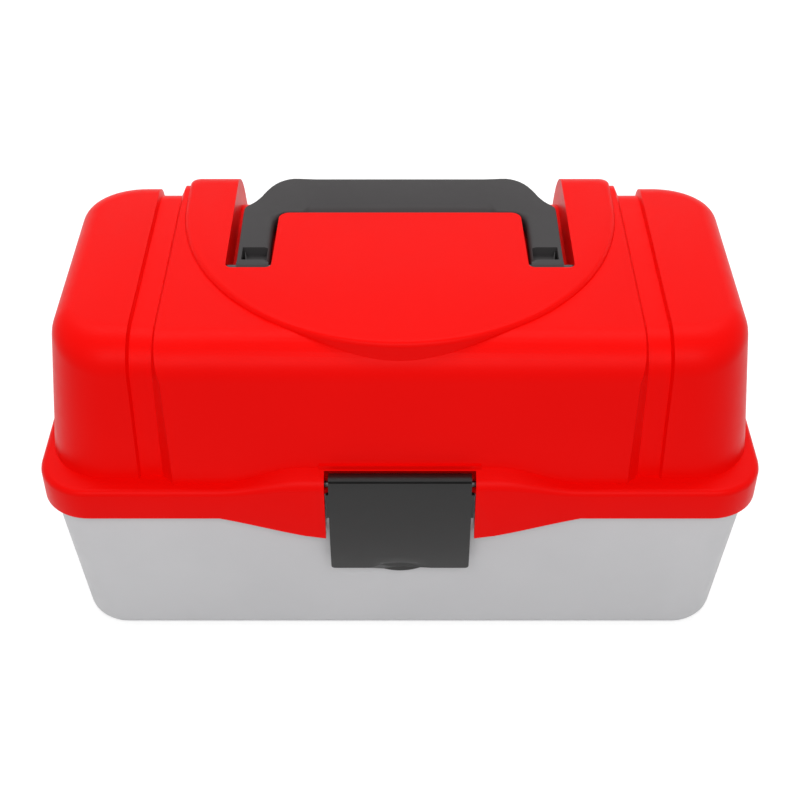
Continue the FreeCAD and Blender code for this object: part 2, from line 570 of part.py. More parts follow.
def lid_shell():
    outer = lid_solid("outer", "0")
    rim_box = box("rim_box", ("-case_length / 2", "case_length / 2"), ("-case_depth / 2", "case_depth / 2"),
                  ("rim_foot_height", RIM_TOP))
    rim_corners = fillet("rim_corners", rim_box, size("rim_corner"), upright)
    rim = fillet("rim", rim_corners, size("rim_edge"), at_top(settle(rim_corners)))
    solid = fuse("lid_outside", outer + [rim, brow(), boss("boss", "0")])
    inside = lid_solid("inner", "wall") + [boss("inner_boss", "wall")]
    hollow = cut("lid_inside", fuse("lid_inside_whole", inside), [recess("recess_wall", "wall")])
    skirt_box = box("skirt_box", ("skirt_wall - case_length / 2", "case_length / 2 - skirt_wall"),
                    ("skirt_wall - case_depth / 2", "case_depth / 2 - skirt_wall"),
                    ("rim_foot_height - brow_drop - wall", LEDGE))
    skirt = fillet("skirt_inside", skirt_box, size("rim_corner") - size("skirt_wall"), upright)
    shell = cut("lid_hollowed", solid, [hollow, skirt])

    pocket_half = f"({CUTOUT_HALF} + wall)"
    pocket_back = f"({RIM_FRONT} + pocket_depth)"
    pocket_top = f"({RIM_TOP} + pocket_roof)"
    added = [shell, box("pocket_wall", (neg(pocket_half), pocket_half),
                        (f"({RIM_FRONT} + middle_inset)", f"({pocket_back} + wall)"),
                        (LEDGE, f"({pocket_top} + wall)"))]
    removed = [recess("recess", "0"),
               box("pocket", (neg(CUTOUT_HALF), CUTOUT_HALF), ("-case_depth", pocket_back),
                   (RIM_TOP, pocket_top)),
               box("latch_cutout", (neg(CUTOUT_HALF), CUTOUT_HALF),
                   ("-case_depth", f"({RIM_FRONT} + skirt_wall + overcut)"),
                   ("rim_foot_height - brow_drop - wall", pocket_top)),
               rod("latch_pin_seat", (neg(LATCH_PIN_END), LATCH_PIN_END), LATCH_PIVOT,
                   "latch_pin_r + seat_fit")]
    pivot_rods = []
    for side in ("left", "right"):
        middle = hinge_middle(side)
        knuckle = (f"({middle} - hinge_lid_knuckle / 2)", f"({middle} + hinge_lid_knuckle / 2)")
        added.append(rod(f"lid_knuckle_{side}", knuckle, HINGE, "hinge_barrel"))
        web = [(f"({HINGE[0]} - hinge_back - wall / 2)", f"({HINGE[1]} + hinge_drop + skirt_wall)"),
               (f"({HINGE[0]} - hinge_barrel)", HINGE[1]), (f"({HINGE[0]} + hinge_barrel)", HINGE[1]),
               (f"({HINGE[0]} + hinge_barrel)", f"({HINGE[1]} + hinge_barrel)"),
               (f"({HINGE[0]} - hinge_back + wall)", f"({RIM_TOP} - rim_edge)"),
               (f"({HINGE[0]} - hinge_back - wall / 2)", f"({RIM_TOP} - rim_edge)")]
        added.append(prism(f"lid_hinge_web_{side}", "YZ", web, knuckle))
        removed.append(rod(f"lid_knuckle_bore_{side}", knuckle, HINGE, "hinge_pin_r + running_fit"))
        seat = mirrored_pair(*HANDLE_PIN)[side]
        outward = mirrored_pair("recess_half", f"({HANDLE_PIN[1]} + wall / 2)")[side]
        added.append(rod(f"handle_pin_boss_{side}", outward, HANDLE_PIVOT, "handle_pin_r + handle_pin_wall"))
        removed.append(rod(f"handle_pin_seat_{side}", seat, HANDLE_PIVOT, "handle_pin_r + seat_fit"))
        for tray, pivot in (("lower", LOWER_LID_PIVOT), ("upper", UPPER_LID_PIVOT)):
            reach = mirrored_pair(f"({TRAY_HALF} + boss_gap)", "case_length / 2")[side]
            pivot_rods.append(rod(f"{tray}_pivot_boss_{side}", reach, pivot, "pivot_boss"))
            reach = mirrored_pair(TRAY_HALF, TRAY_PIN_END)[side]
            removed.append(rod(f"{tray}_pivot_seat_{side}", reach, pivot, "pivot_r + seat_fit"))
    groove_form = outer[0]
    added.append(common("lid_pivot_bosses", [fuse("lid_pivot_rods", pivot_rods), groove_form]))
    return cut("lid_shell", fuse("lid_with_bosses", added), removed)


# --- tub ------------------------------------------------------------------------------------

def tub_block(name, offset, floor):
    """The tub's drafted block with round corners and a rounded foot, moved in by an offset."""
    half_x = f"({TUB_HALF_LENGTH} - {offset} - ({TUB_TOP} - {floor}) * {TUB_SLOPE})"
    half_y = f"({TUB_HALF_DEPTH} - {offset} - ({TUB_TOP} - {floor}) * {TUB_SLOPE})"
    top = TUB_TOP if offset == "0" else f"({TUB_TOP} + wall)"
    block = taper_block(name + "_block", half_x, half_y, f"(-{TUB_SLOPE})", f"(-{TUB_SLOPE})", (floor, top))
    corners = fillet(name + "_corners", block, radius_within("tub_corner", offset), upright)
    return fillet(name, corners, radius_within("tub_foot_round", offset), at_foot(settle(corners)))


def base_tub():
    outside = tub_block("tub_outside", "0", "0")
    inside = tub_block("tub_inside", "wall", "wall")
    catch_face = f"({RIM_FRONT} + catch_inset)"
    bracket_top = "(rim_foot_height - seat_gap)"
    catch_body = box("catch", ("-catch_half", "catch_half"), (catch_face, f"({catch_face} + 2 * wall)"),
                     (CATCH_HEIGHT, f"{CATCH_HEIGHT} + catch_thick"))
    rods = []
    bores = []
    outer_parts = [outside, catch_body]
    for side in ("left", "right"):
        rib_span = mirrored_pair("latch_half + knuckle_gap", "latch_half + knuckle_gap + rib_width")[side]
        rib_face = f"({RIM_FRONT} + rib_inset)"
        rib_back = f"({RIM_FRONT} + rib_inset + rib_root)"
        rib = [(rib_back, LATCH_BOTTOM), (rib_face, f"({LATCH_PIVOT[1]} - rib_below)"),
               (rib_face, bracket_top), (rib_back, bracket_top)]
        outer_parts.append(prism(f"latch_rib_{side}", "YZ", rib, rib_span))
        middle = hinge_middle(side)
        reach = "(hinge_lid_knuckle / 2 + knuckle_gap)"
        for place, span in (("in", (f"({middle} - {reach} - hinge_knuckle)", f"({middle} - {reach})")),
                            ("out", (f"({middle} + {reach})", f"({middle} + {reach} + hinge_knuckle)"))):
            outer_parts.append(rod(f"tub_knuckle_{place}_{side}", span, HINGE, "hinge_barrel"))
            bracket = [(f"({TUB_HALF_DEPTH} - 2 * wall)", f"({HINGE[1]} - 4 * hinge_barrel)"),
                       (HINGE[0], f"({HINGE[1]} - hinge_barrel)"),
                       (HINGE[0], f"({HINGE[1]} + hinge_barrel - knuckle_gap)"),
                       (f"({TUB_HALF_DEPTH} - 2 * wall)", f"({HINGE[1]} + hinge_barrel - knuckle_gap)")]
            outer_parts.append(prism(f"tub_bracket_{place}_{side}", "YZ", bracket, span))
            bores.append(rod(f"tub_knuckle_bore_{place}_{side}", span, HINGE, "hinge_pin_r + seat_fit"))
        reach = mirrored_pair(f"({ARM[1]} + boss_gap)", "case_length / 2")[side]
        rods.append(rod(f"arm_foot_boss_{side}", reach, ARM_FOOT, "pivot_boss"))
        reach = mirrored_pair(TRAY_HALF, ARM_PIN_END)[side]
        bores.append(rod(f"arm_foot_seat_{side}", reach, ARM_FOOT, "pivot_r + seat_fit"))
    hollow = cut("tub_hollow", fuse("tub_filled", outer_parts), [inside])
    bosses = common("arm_foot_bosses", [fuse("arm_foot_rods", rods), outside])
    return cut("base_tub", fuse("tub_with_bosses", [hollow, bosses]), bores)


# --- latch and handle -----------------------------------------------------------------------

def latch():
    level = f"({LATCH_BOTTOM} + latch_length / 2)"
    face = f"({RIM_FRONT} - latch_stand)"
    axis = (f"({face} + latch_bow)", level)
    span = (neg("latch_half"), "latch_half")
    bow = cut("latch_bow_plate", rod("latch_bow_outside", span, axis, "latch_bow"),
              [rod("latch_bow_inside", span, axis, "latch_bow - latch_plate")])
    low = "(latch_half - latch_taper)"
    lip = "(latch_lip_half - latch_lip_drop)"
    top = f"({LATCH_PIVOT[1]} + latch_barrel / 2)"
    lip_foot = f"({LATCH_BOTTOM} - latch_lip_drop)"
    right = [(lip, lip_foot), ("latch_lip_half", LATCH_BOTTOM), (low, LATCH_BOTTOM), ("latch_half", level),
             ("latch_half", top)]
    points = right + [(neg(x), z) for x, z in reversed(right)]
    plate = common("latch_plate_body", [bow, prism("latch_face", "XZ", points,
                                                   (f"({face} - wall)", f"({RIM_FRONT} + wall)"))])
    catch_face = f"({RIM_FRONT} + catch_inset)"
    hook = box("latch_hook", ("hook_gap - catch_half", "catch_half - hook_gap"),
               (f"({RIM_FRONT} - latch_plate / 2)", f"({catch_face} + hook_reach)"),
               (f"{CATCH_HEIGHT} - hook_gap - hook_thick", f"{CATCH_HEIGHT} - hook_gap"))
    barrel = rod("latch_barrel_body", span, LATCH_PIVOT, "latch_barrel")
    bore = rod("latch_bore", span, LATCH_PIVOT, "latch_pin_r + running_fit")
    return cut("latch", fuse("latch_whole", [plate, hook, barrel]), [bore])


def grip_round(name, edge, centre, radius):
    """What rounding an upper edge of the grip takes away: a square corner less a round one."""
    span = ("-grip_round_half", "grip_round_half")
    low, high = (edge, centre) if name == "front" else (centre, edge)
    level = f"({HANDLE_TOP} - {radius})"
    corner = box(f"grip_{name}_corner", span, (low, high), (level, HANDLE_TOP))
    return cut(f"grip_{name}_round", corner, [rod(f"grip_{name}_rod", span, (centre, level), radius)])


def handle():
    y = HANDLE_PIVOT[0]
    inner = f"({HANDLE_HALF} - handle_leg)"
    neck = f"({HANDLE_HALF} - neck_in)"
    right = [(HANDLE_HALF, y), (HANDLE_HALF, f"({GRIP_FRONT} + handle_leg / 4)"),
             (neck, f"({GRIP_FRONT} + grip_neck)"), (f"({HANDLE_HALF} - grip_end_in)", GRIP_BACK)]
    points = right + [(neg(x), place) for x, place in reversed(right)]
    points += [(neg(inner), y), (neg(inner), GRIP_FRONT), (inner, GRIP_FRONT), (inner, y)]
    plate = prism("handle_plate_body", "XY", points, (f"({HANDLE_TOP} - handle_plate)", HANDLE_TOP))
    grip_floor = f"({RECESS_FLOOR} + handle_gap)"
    grip_box = box("grip_box", (f"(handle_neck_in - {neck})", f"({neck} - handle_neck_in)"),
                   (GRIP_FRONT, GRIP_BACK), (grip_floor, HANDLE_TOP))
    front = min(v.Y for v in settle(grip_box).Vertexes)
    shoulders = fillet("handle_shoulders", plate, size("handle_leg") / 2,
                       lambda edge: upright(edge) and ends(edge)[0].y > front + NEAR)
    grip = common("grip", [fillet("grip_rounded", grip_box, size("grip_edge"), at_foot(settle(grip_box))),
                           prism("grip_outline", "XY", points, (grip_floor, HANDLE_TOP))])
    parts = [shoulders, grip]
    removed = [grip_round("front", GRIP_FRONT, f"({GRIP_FRONT} + grip_front_round)", "grip_front_round"),
               grip_round("back", GRIP_BACK, f"({GRIP_BACK} - grip_back_round)", "grip_back_round")]
    for side in ("left", "right"):
        leg = mirrored_pair(inner, HANDLE_HALF)[side]
        parts.append(rod(f"handle_barrel_{side}", leg, HANDLE_PIVOT, "handle_barrel"))
        removed.append(rod(f"handle_bore_{side}", leg, HANDLE_PIVOT, "handle_pin_r + running_fit"))
        pocket = mirrored_pair(f"({inner} + window_inner)", f"({HANDLE_HALF} - window_outer)")[side]
        removed.append(box(f"handle_window_{side}", pocket,
                           (f"({y} + handle_barrel)", f"({y} + handle_barrel + window_length)"),
                           (f"({HANDLE_TOP} - window_depth)", BOSS_TOP)))
    return cut("handle", fuse("handle_whole", parts), removed)


# --- trays, arms and dividers ---------------------------------------------------------------

# Each tray's underside, front, back, front row of cells, lid pivot and arm pivot.
TRAYS = {
    "lower": (LOWER_FLOOR, "(lower_front_inset - case_depth / 2)", f"({LOWER_LID_PIVOT[0]} - ear_reach)",
              "lower_front_row", LOWER_LID_PIVOT, LOWER_ARM_PIVOT),
    "upper": (UPPER_FLOOR, "(upper_front_inset - case_depth / 2)",
              f"({UPPER_LID_PIVOT[0]} + upper_pivot_cover)", "upper_front_row", UPPER_LID_PIVOT,
              UPPER_ARM_PIVOT),
}
DIVIDERS = {"left": "(-divider_pitch)", "middle": "0", "right": "divider_pitch"}


def tray_block(name, front, back, z, offset):
    """A tray's outline with large front corners, moved in by an offset."""
    half = f"({TRAY_HALF} - {offset})"
    block = box(name + "_box", (neg(half), half), (f"({front} + {offset})", f"({back} - {offset})"), z)
    middle = settle(block).CenterOfMass.y

    def corner(edge):
        if not upright(edge):
            return None
        radius = radius_within("tray_corner" if ends(edge)[0].y < middle else "tray_back_corner", offset)
        return (radius, radius)

    return finish_edges("Part::Fillet", name, block, corner)


def tray(which):
    floor, front, back, row, lid_place, arm_place = TRAYS[which]
    long_wall = f"({front} + {row})"
    top = f"({floor} + {TRAY_HEIGHT})"
    inner_floor = f"({floor} + tray_wall)"
    outside = tray_block(f"{which}_tray_outside", front, back, (floor, top), "0")
    inside = tray_block(f"{which}_tray_inside", front, back, (inner_floor, f"({top} + tray_wall)"),
                        "tray_wall")
    inner_front = f"({front} + tray_wall)"
    inner_back = f"({back} - tray_wall)"
    reach = f"({TRAY_HALF} - tray_wall / 2)"
    wall_top = f"({top} - divider_down)"
    wall_front = f"({long_wall} - cross_wall)"
    parts = [cut(f"{which}_tray_shell", outside, [inside]),
             box(f"{which}_long_wall", (neg(reach), reach), (wall_front, long_wall), (floor, wall_top))]
    for side, span in mirrored_pair("(bay_wall - cross_wall / 2)", "(bay_wall + cross_wall / 2)").items():
        parts.append(box(f"{which}_bay_wall_{side}", span, (inner_front, inner_back), (floor, wall_top)))
        if which == "lower":
            ear = mirrored_pair(f"({TRAY_HALF} - tray_wall)", TRAY_HALF)[side]
            parts.append(rod(f"ear_round_{side}", ear, lid_place, "ear_round"))
            parts.append(box(f"ear_{side}", ear, (f"({back} - 4 * tray_back_corner)", lid_place[0]),
                             (f"({lid_place[1]} - ear_round)", f"({lid_place[1]} + ear_round)")))
    half_slot = "(divider_thick / 2 + divider_gap)"
    for place, x in DIVIDERS.items():
        for hand, (near, far) in mirrored_pair(half_slot, f"({half_slot} + slot_rib)").items():
            span = (f"({x} + {near})", f"({x} + {far})")
            parts.append(box(f"{which}_rib_front_{place}_{hand}", span,
                             (f"({inner_front} - tray_wall / 2)", f"({inner_front} + slot_depth)"),
                             (floor, wall_top)))
            parts.append(box(f"{which}_rib_back_{place}_{hand}", span,
                             (f"({wall_front} - slot_depth)", long_wall), (floor, wall_top)))
    bores = []
    for side in ("left", "right"):
        wide = mirrored_pair(f"({TRAY_HALF} - 2 * tray_wall)", f"({TRAY_HALF} + tray_wall)")[side]
        bores.append(rod(f"{which}_lid_bore_{side}", wide, lid_place, "pivot_r + running_fit"))
        bores.append(rod(f"{which}_arm_bore_{side}", wide, arm_place, "pivot_r + running_fit"))
    return cut(f"{which}_tray", fuse(f"{which}_tray_whole", parts), bores)


def divider(which, place):
    floor, front, _, row, _, _ = TRAYS[which]
    x = DIVIDERS[place]
    ends_y = (f"({front} + tray_wall + divider_gap)", f"({front} + {row} - cross_wall - divider_gap)")
    return box(f"{which}_divider_{place}", (f"({x} - divider_thick / 2)", f"({x} + divider_thick / 2)"),
               ends_y, (f"({floor} + tray_wall)", f"({floor} + {TRAY_HEIGHT} - divider_down)"))


def arm(side):
    """A straight bar from its foot in the tub past the lower tray to the upper tray."""
    span = mirrored_pair(*ARM)[side]
    start, end = ARM_FOOT, UPPER_ARM_PIVOT
    across = ("(arm_half * sin(crank_angle * 1 deg))", "(arm_half * cos(crank_angle * 1 deg))")
    corners = [(f"({point[0]} + {sign} * {across[0]})", f"({point[1]} + {sign} * {across[1]})")
               for point, sign in ((start, 1), (start, -1), (end, -1), (end, 1))]
    parts = [prism(f"arm_bar_{side}", "YZ", corners, span),
             rod(f"arm_foot_end_{side}", span, start, "arm_half"),
             rod(f"arm_top_end_{side}", span, end, "arm_half")]
    bores = [rod(f"arm_foot_bore_{side}", span, start, "pivot_r + running_fit"),
             rod(f"arm_lower_bore_{side}", span, LOWER_ARM_PIVOT, "pivot_r + seat_fit"),
             rod(f"arm_upper_bore_{side}", span, end, "pivot_r + seat_fit")]
    return cut(f"arm_{side}", fuse(f"arm_whole_{side}", parts), bores)


def headed_pin(name, side, head_end, end, place):
    head = mirrored_pair(f"({head_end} - pin_head_thick)", head_end)[side]
    shank = mirrored_pair(head_end, end)[side]
    return fuse(name, [rod(name + "_head", head, place, "pin_head"),
                       rod(name + "_shank", shank, place, "pivot_r")])


def pins():
    made = [rod("latch_pin", (neg(LATCH_PIN_END), LATCH_PIN_END), LATCH_PIVOT, "latch_pin_r")]
    for side in ("left", "right"):
        made.append(rod(f"handle_pin_{side}", mirrored_pair(*HANDLE_PIN)[side], HANDLE_PIVOT, "handle_pin_r"))
        middle = hinge_middle(side)
        reach = "(hinge_lid_knuckle / 2 + knuckle_gap + hinge_knuckle)"
        made.append(rod(f"hinge_pin_{side}", (f"({middle} - {reach})", f"({middle} + {reach})"), HINGE,
                        "hinge_pin_r"))
        made.append(headed_pin(f"arm_foot_pin_{side}", side, f"({ARM[0]} - knuckle_gap)", ARM_PIN_END,
                               ARM_FOOT))
        for which, (_, _, _, _, lid_place, arm_place) in TRAYS.items():
            made.append(headed_pin(f"{which}_tray_pin_{side}", side, HEAD_END, TRAY_PIN_END, lid_place))
            made.append(headed_pin(f"{which}_arm_pin_{side}", side, HEAD_END, ARM[1], arm_place))
    return made


# --- the assembly ---------------------------------------------------------------------------

NODES = [lid_shell(), base_tub(), latch(), handle(), tray("lower"), tray("upper"), arm("left"), arm("right")]
NODES += [divider(which, place) for which in TRAYS for place in DIVIDERS]
NODES += pins()
doc.recompute()

for thing in doc.Objects:
    if any(state in ("Invalid", "Error") for state in thing.State):
        raise RuntimeError(f"{thing.Name} did not build: {thing.State}")
for node in NODES:
    if node.Shape.isNull() or not node.Shape.isValid():
        raise RuntimeError(f"{node.Label} has no valid shape")
os.makedirs("parts", exist_ok=True)
for node in NODES:
    node.Shape.exportStep(f"parts/{node.Label}.step")
    print(node.Label, len(node.Shape.Solids), round(node.Shape.Volume, 1))
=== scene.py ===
import math

import bmesh
import bpy
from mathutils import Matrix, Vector


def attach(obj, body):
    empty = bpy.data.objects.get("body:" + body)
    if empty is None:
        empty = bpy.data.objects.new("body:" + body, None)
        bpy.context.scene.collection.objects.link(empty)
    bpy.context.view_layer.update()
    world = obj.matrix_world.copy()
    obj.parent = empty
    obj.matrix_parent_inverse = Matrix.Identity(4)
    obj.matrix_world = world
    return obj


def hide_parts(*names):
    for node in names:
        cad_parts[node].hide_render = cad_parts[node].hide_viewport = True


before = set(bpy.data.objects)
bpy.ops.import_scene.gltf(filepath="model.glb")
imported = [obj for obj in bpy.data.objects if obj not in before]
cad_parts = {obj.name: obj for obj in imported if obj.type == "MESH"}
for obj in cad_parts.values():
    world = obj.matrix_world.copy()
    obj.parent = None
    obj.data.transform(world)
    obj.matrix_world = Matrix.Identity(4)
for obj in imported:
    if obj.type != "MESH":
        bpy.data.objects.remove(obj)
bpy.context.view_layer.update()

# Sizes in metres, in the frame's own axes: X to the right, Y from the latch to the hinges, Z up.
MM = 0.001
NEAR = 0.1 * MM  # what still counts as at a place
QUARTER = [math.radians(step * 15) for step in range(7)]  # a quarter turn, in steps

# The case's rim and walls.
LENGTH = 350 * MM
DEPTH = 180 * MM
RIM_LOW = 90 * MM
RIM_TOP = 107 * MM
RIM_CORNER = 25 * MM
RIM_EDGE = 3 * MM
SKIRT = 2 * MM
WALL = 2.5 * MM
LEDGE = RIM_TOP - WALL
BELOW_RIM = RIM_LOW - 30 * MM

# The lid's dome, with a groove near each end and a middle that stands out.
LID_TOP = 181 * MM
DRAFT = math.tan(math.radians(6.2))
LID_CORNER = 30 * MM
SHOULDER = 21 * MM
BACK_SHOULDER = 16.5 * MM
END_SHOULDER = 10 * MM
SHOULDER_BEVEL = 0.897  # the bevel's width for a round of 1 between the leaning walls and the top
SHOULDER_START = LID_TOP - SHOULDER - 5 * MM
DOME_FOOT = LEDGE - 3 * MM
END_WALL_INSET = 4.5 * MM
END_INSET = 9.9 * MM
MIDDLE_OUT = 3.4 * MM
GROOVE_IN = 2.1 * MM
GROOVE_DROP = 2.7 * MM
END_EDGE = 125.3 * MM
GROOVE_OUTER = 124.3 * MM
GROOVE_INNER = 114 * MM
MIDDLE_EDGE_TOP = 112.2 * MM
MIDDLE_EDGE_WALL = 108.5 * MM

# The raised field round the handle.
BOSS_TOP = 183.4 * MM
BOSS_FOOT = LID_TOP - 2 * SHOULDER
BOSS_HALF = 109.6 * MM
BOSS_REACH = 118 * MM
BOSS_CENTRE = 45 * MM
BOSS_BACK = 80 * MM
BOSS_EDGE = 2.8 * MM
BOSS_BACK_EDGE = 16.5 * MM
BOSS_CORNER = 5 * MM
BOSS_STEPS = 96

# The handle's recess, and the tongue between its two slots.
RECESS_FLOOR = 169.8 * MM
RECESS_FRONT = 12.9 * MM
RECESS_HALF = 84.4 * MM
RECESS_LEAN = 0.083
RECESS_CORNER = 3 * MM
RECESS_ROUND = 20 * MM
RECESS_OPEN = BOSS_TOP + 5 * MM
TONGUE_HALF = 62.2 * MM
TONGUE_NARROWING = 0.025
TONGUE_START = 9 * MM
TONGUE_BACK = 35.5 * MM
TONGUE_CORNER = 5 * MM

# The brow round the latch, and the pocket and slot that are cut from it.
BROW_START = 87 * MM
BROW_FULL = 46 * MM
BROW_LOW = 39 * MM
BROW_STEPS = 16
BROW_DEPTH = 7.5 * MM
BROW_DROP = 12 * MM
BROW_EDGE_RISE = 5 * MM
BROW_ROOT_RISE = 9.5 * MM
BROW_LIP = 5 * MM
BROW_BULGE = 1.6 * MM
CUTOUT_HALF = 36 * MM
POCKET_DEPTH = 11 * MM
POCKET_TOP = 115.8 * MM
POCKET_CORNER = 0.5 * MM
POCKET_WALL_START = 6.5 * MM

# The hinges: their pins' line in Y and Z, and their knuckles.
HINGE = (95 * MM, 86 * MM)
HINGE_BARREL = 4.3 * MM
HINGE_BORE = 1.77 * MM
HINGE_REACH = 140 * MM
HINGE_PLACE = 110 * MM
HINGE_LID_HALF = 9.7 * MM
HINGE_KNUCKLE = 10 * MM
KNUCKLE_GAP = 0.3 * MM
BRACKET_OUTLINE = [(82.1 * MM, 68.8 * MM), (95 * MM, 81.7 * MM), (95 * MM, 90 * MM), (82.1 * MM, 90 * MM)]

# The tub, the catch for the latch's hook and the ribs beside it.
TUB_TOP = 104.2 * MM
TUB_HALF_LENGTH = 172.1 * MM
TUB_HALF_DEPTH = 87.1 * MM
TUB_DRAFT = math.tan(math.radians(4.2))
TUB_CORNER = 22 * MM
TUB_FOOT = 8 * MM
FOOT_BEVEL = 0.93  # the bevel's width for a round of 1 between the leaning walls and the foot
CATCH_HALF = 22 * MM
CATCH_LOW = 76 * MM
CATCH_HIGH = 79.4 * MM
CATCH_FACE = -89.1 * MM
CATCH_DEPTH = 5 * MM
RIB_INNER = 34.3 * MM
RIB_WIDTH = 1.2 * MM
RIB_OUTLINE = [(-80.5 * MM, 56 * MM), (-89 * MM, 87.3 * MM), (-89 * MM, 89.7 * MM), (-80.5 * MM, 89.7 * MM)]

# The pivots of arms and trays: their lines in Y and Z, and their bosses' and bores' ends in X.
ARM_FOOT = (39 * MM, 88 * MM)
LOWER_PIVOT = (61.003 * MM, 110.7 * MM)
UPPER_PIVOT = (22.052 * MM, 139 * MM)
PIVOT_BOSS = 6 * MM
PIVOT_BORE = 3.02 * MM
PIVOT_BORE_START = 150 * MM
FOOT_BOSS_INNER = 160.3 * MM
FOOT_BOSS_OUTER = 170 * MM
FOOT_BORE_END = 163.8 * MM
TRAY_BOSS_INNER = 157 * MM
TRAY_BOSS_OUTER = 172 * MM
TRAY_BORE_END = TRAY_BOSS_INNER + 4 * MM

# The latch: a bowed plate, and the crest and hook on it, with dark blocks beside it that fill the gaps to the
# cut-out as painted shade.
LATCH_HALF = 34 * MM
LATCH_TOP = 113.3 * MM
LATCH_LOW = 56 * MM
LATCH_FACE = -93 * MM
LATCH_PLATE = 3 * MM
LATCH_BOW = 157 * MM
LATCH_COLUMNS = 17
LATCH_ROWS = 12
LATCH_CORNER = 1.8 * MM
LATCH_EDGE = 0.5 * MM
LATCH_PIVOT = (-87.2 * MM, 110.3 * MM)
LATCH_BARREL = 3 * MM
LATCH_BORE = 1.56 * MM
LIP_HALF = 15 * MM
LIP_RISE = 3.6 * MM
LIP_DROP = 5 * MM
LIP_START = LATCH_LOW + LIP_RISE + 1.5 * MM
CREST = 5.2 * MM
CREST_FRONT = -89.6 * MM
CREST_BACK = -84.8 * MM
CREST_FOOT = LATCH_TOP - 2 * MM
HOOK_HALF = 21.6 * MM
HOOK_FRONT = -91 * MM
HOOK_BACK = -87.95 * MM
HOOK_LOW = 71.2 * MM
HOOK_HIGH = 75.6 * MM
SHADE_FILL_INNER = LATCH_HALF - MM
SHADE_FILL_OUTER = LATCH_HALF + 1.4 * MM
SHADE_FILL_FRONT = -90.6 * MM
SHADE_FILL_BACK = -88.6 * MM
SHADE_FILL_LOW = 91 * MM
SHADE_FILL_HIGH = 106 * MM

# The handle: its pivot in Y and Z, its thickness, and the pocket with a ridge and a slit in each leg's end.
HANDLE_PIVOT = (-8.55 * MM, 180.25 * MM)
HANDLE_TOP = 183 * MM
HANDLE_BARREL = 2.75 * MM
HANDLE_BORE = 1.36 * MM
LEG_INNER = 63.7 * MM
LEG_OUTER = 79.3 * MM
LEG_FLOOR = 174 * MM
LEG_INNER_ROUND = 3.2 * MM
LEG_OUTER_ROUND = 0.7 * MM
LEG_UNDER_ROUND = 1 * MM
WEB_ROUND_LOSS = 2.2 * MM
GRIP_FLOOR = 170.1 * MM
GRIP_INNER_GAIN = 7.5 * MM
GRIP_OUTER_GAIN = 3.3 * MM
GRIP_UNDER_GAIN = 3 * MM
LEG_POCKET_FRONT = -5.8 * MM
LEG_POCKET_BACK = 4.8 * MM
LEG_POCKET_FLOOR = 178 * MM
LEG_POCKET_OPEN = 190 * MM
LEG_POCKET_INNER = (64.9 * MM, 64.9 * MM)
LEG_POCKET_OUTER = (77.2 * MM, 77.2 * MM)
RIDGE_INNER = (74.4 * MM, 75.9 * MM)
RIDGE_OUTER = (74.9 * MM, 76.4 * MM)
RIDGE_HIGH = LEG_POCKET_FLOOR + 2.5 * MM
SLIT_FLOOR = 175.5 * MM

# The stretches of the inner edge, as distances from the middle, over which the legs' inner round shrinks, the
# section deepens and the grip's rounds grow.
WEB = (63.4 * MM, 60 * MM)
DEEPENING = (63 * MM, 50 * MM)
GRIP = (50 * MM, 45 * MM)

# Where the handle's outer and inner edges run, seen from above, from the pivot to the grip's middle, in mm.
HANDLE_EDGES = [((79.3, -8.55), (63.7, -8.55)), ((79.3, 12), (63.8, 12)), ((79.4, 26), (63.8, 24)),
                ((79.4, 36), (63.6, 28.5)), ((79.3, 39.9), (63.3, 30.6)), ((79, 41.3), (62.9, 32)),
                ((77.8, 43.1), (62.3, 33.3)), ((75.9, 45), (61.6, 34.4)), ((74.2, 47), (60.9, 35.3)),
                ((72.7, 49.4), (60, 36.1)), ((71.3, 52), (59, 36.7)), ((70, 55.2), (57.8, 37)),
                ((68.5, 58.4), (56.6, 37.2)), ((66.7, 61.6), (55.4, 37.2)), ((64.8, 64.2), (54.2, 37.2)),
                ((62.8, 66.2), (53, 37.2)), ((60.6, 67.7), (51.8, 37.2)), ((58.3, 68.8), (50.6, 37.2)),
                ((55.8, 69.5), (49.4, 37.2)), ((53, 70.1), (48.2, 37.2)), ((50, 70.7), (47, 37.2)),
                ((47, 71.2), (45.8, 37.2)), ((44, 71.2), (44, 37.2)), ((0, 71.2), (0, 37.2))]

# Edges of the pieces that are copied from the frame.
WIRE_EDGE = 0.2 * MM
TRAY_EDGE = 0.4 * MM
ARM_EDGE = 0.6 * MM

# Floor, light and camera.
FLOOR_SIZE = 8
FLOOR_GLOW = 0.6
WORLD_LEVEL = 0.5
SOFTBOX = (1.6, 0.6)
FRONT_POWER = 12
OVERHEAD_POWER = 9
LENS = 64.8
SENSOR = 36
CAMERA_PLACE = (0, -0.585, 0.580)
CAMERA_TILT = math.radians(50)


# --- modelling helpers ----------------------------------------------------------------------

def deselect():
    for thing in bpy.context.selected_objects:
        thing.select_set(False)


def activate(piece):
    deselect()
    piece.select_set(True)
    bpy.context.view_layer.objects.active = piece


def named(name):
    """Names the primitive just added and puts its place into its mesh."""
    piece = bpy.context.object
    piece.name = name
    piece.data.name = name
    bpy.ops.object.transform_apply(location=True, rotation=True, scale=True)
    return piece


def block(name, low, high):
    """A box between two corners."""
    deselect()
    middle = [(a + b) / 2 for a, b in zip(low, high)]
    bpy.ops.mesh.primitive_cube_add(size=1, location=middle, scale=[b - a for a, b in zip(low, high)])
    return named(name)


def rod(name, start, end, radius, sides=48):
    """A cylinder between two points."""
    deselect()
    start, end = Vector(start), Vector(end)
    turn = (end - start).to_track_quat("Z", "Y").to_euler()
    bpy.ops.mesh.primitive_cylinder_add(vertices=sides, radius=radius, depth=(end - start).length,
                                        location=(start + end) / 2, rotation=turn)
    return named(name)


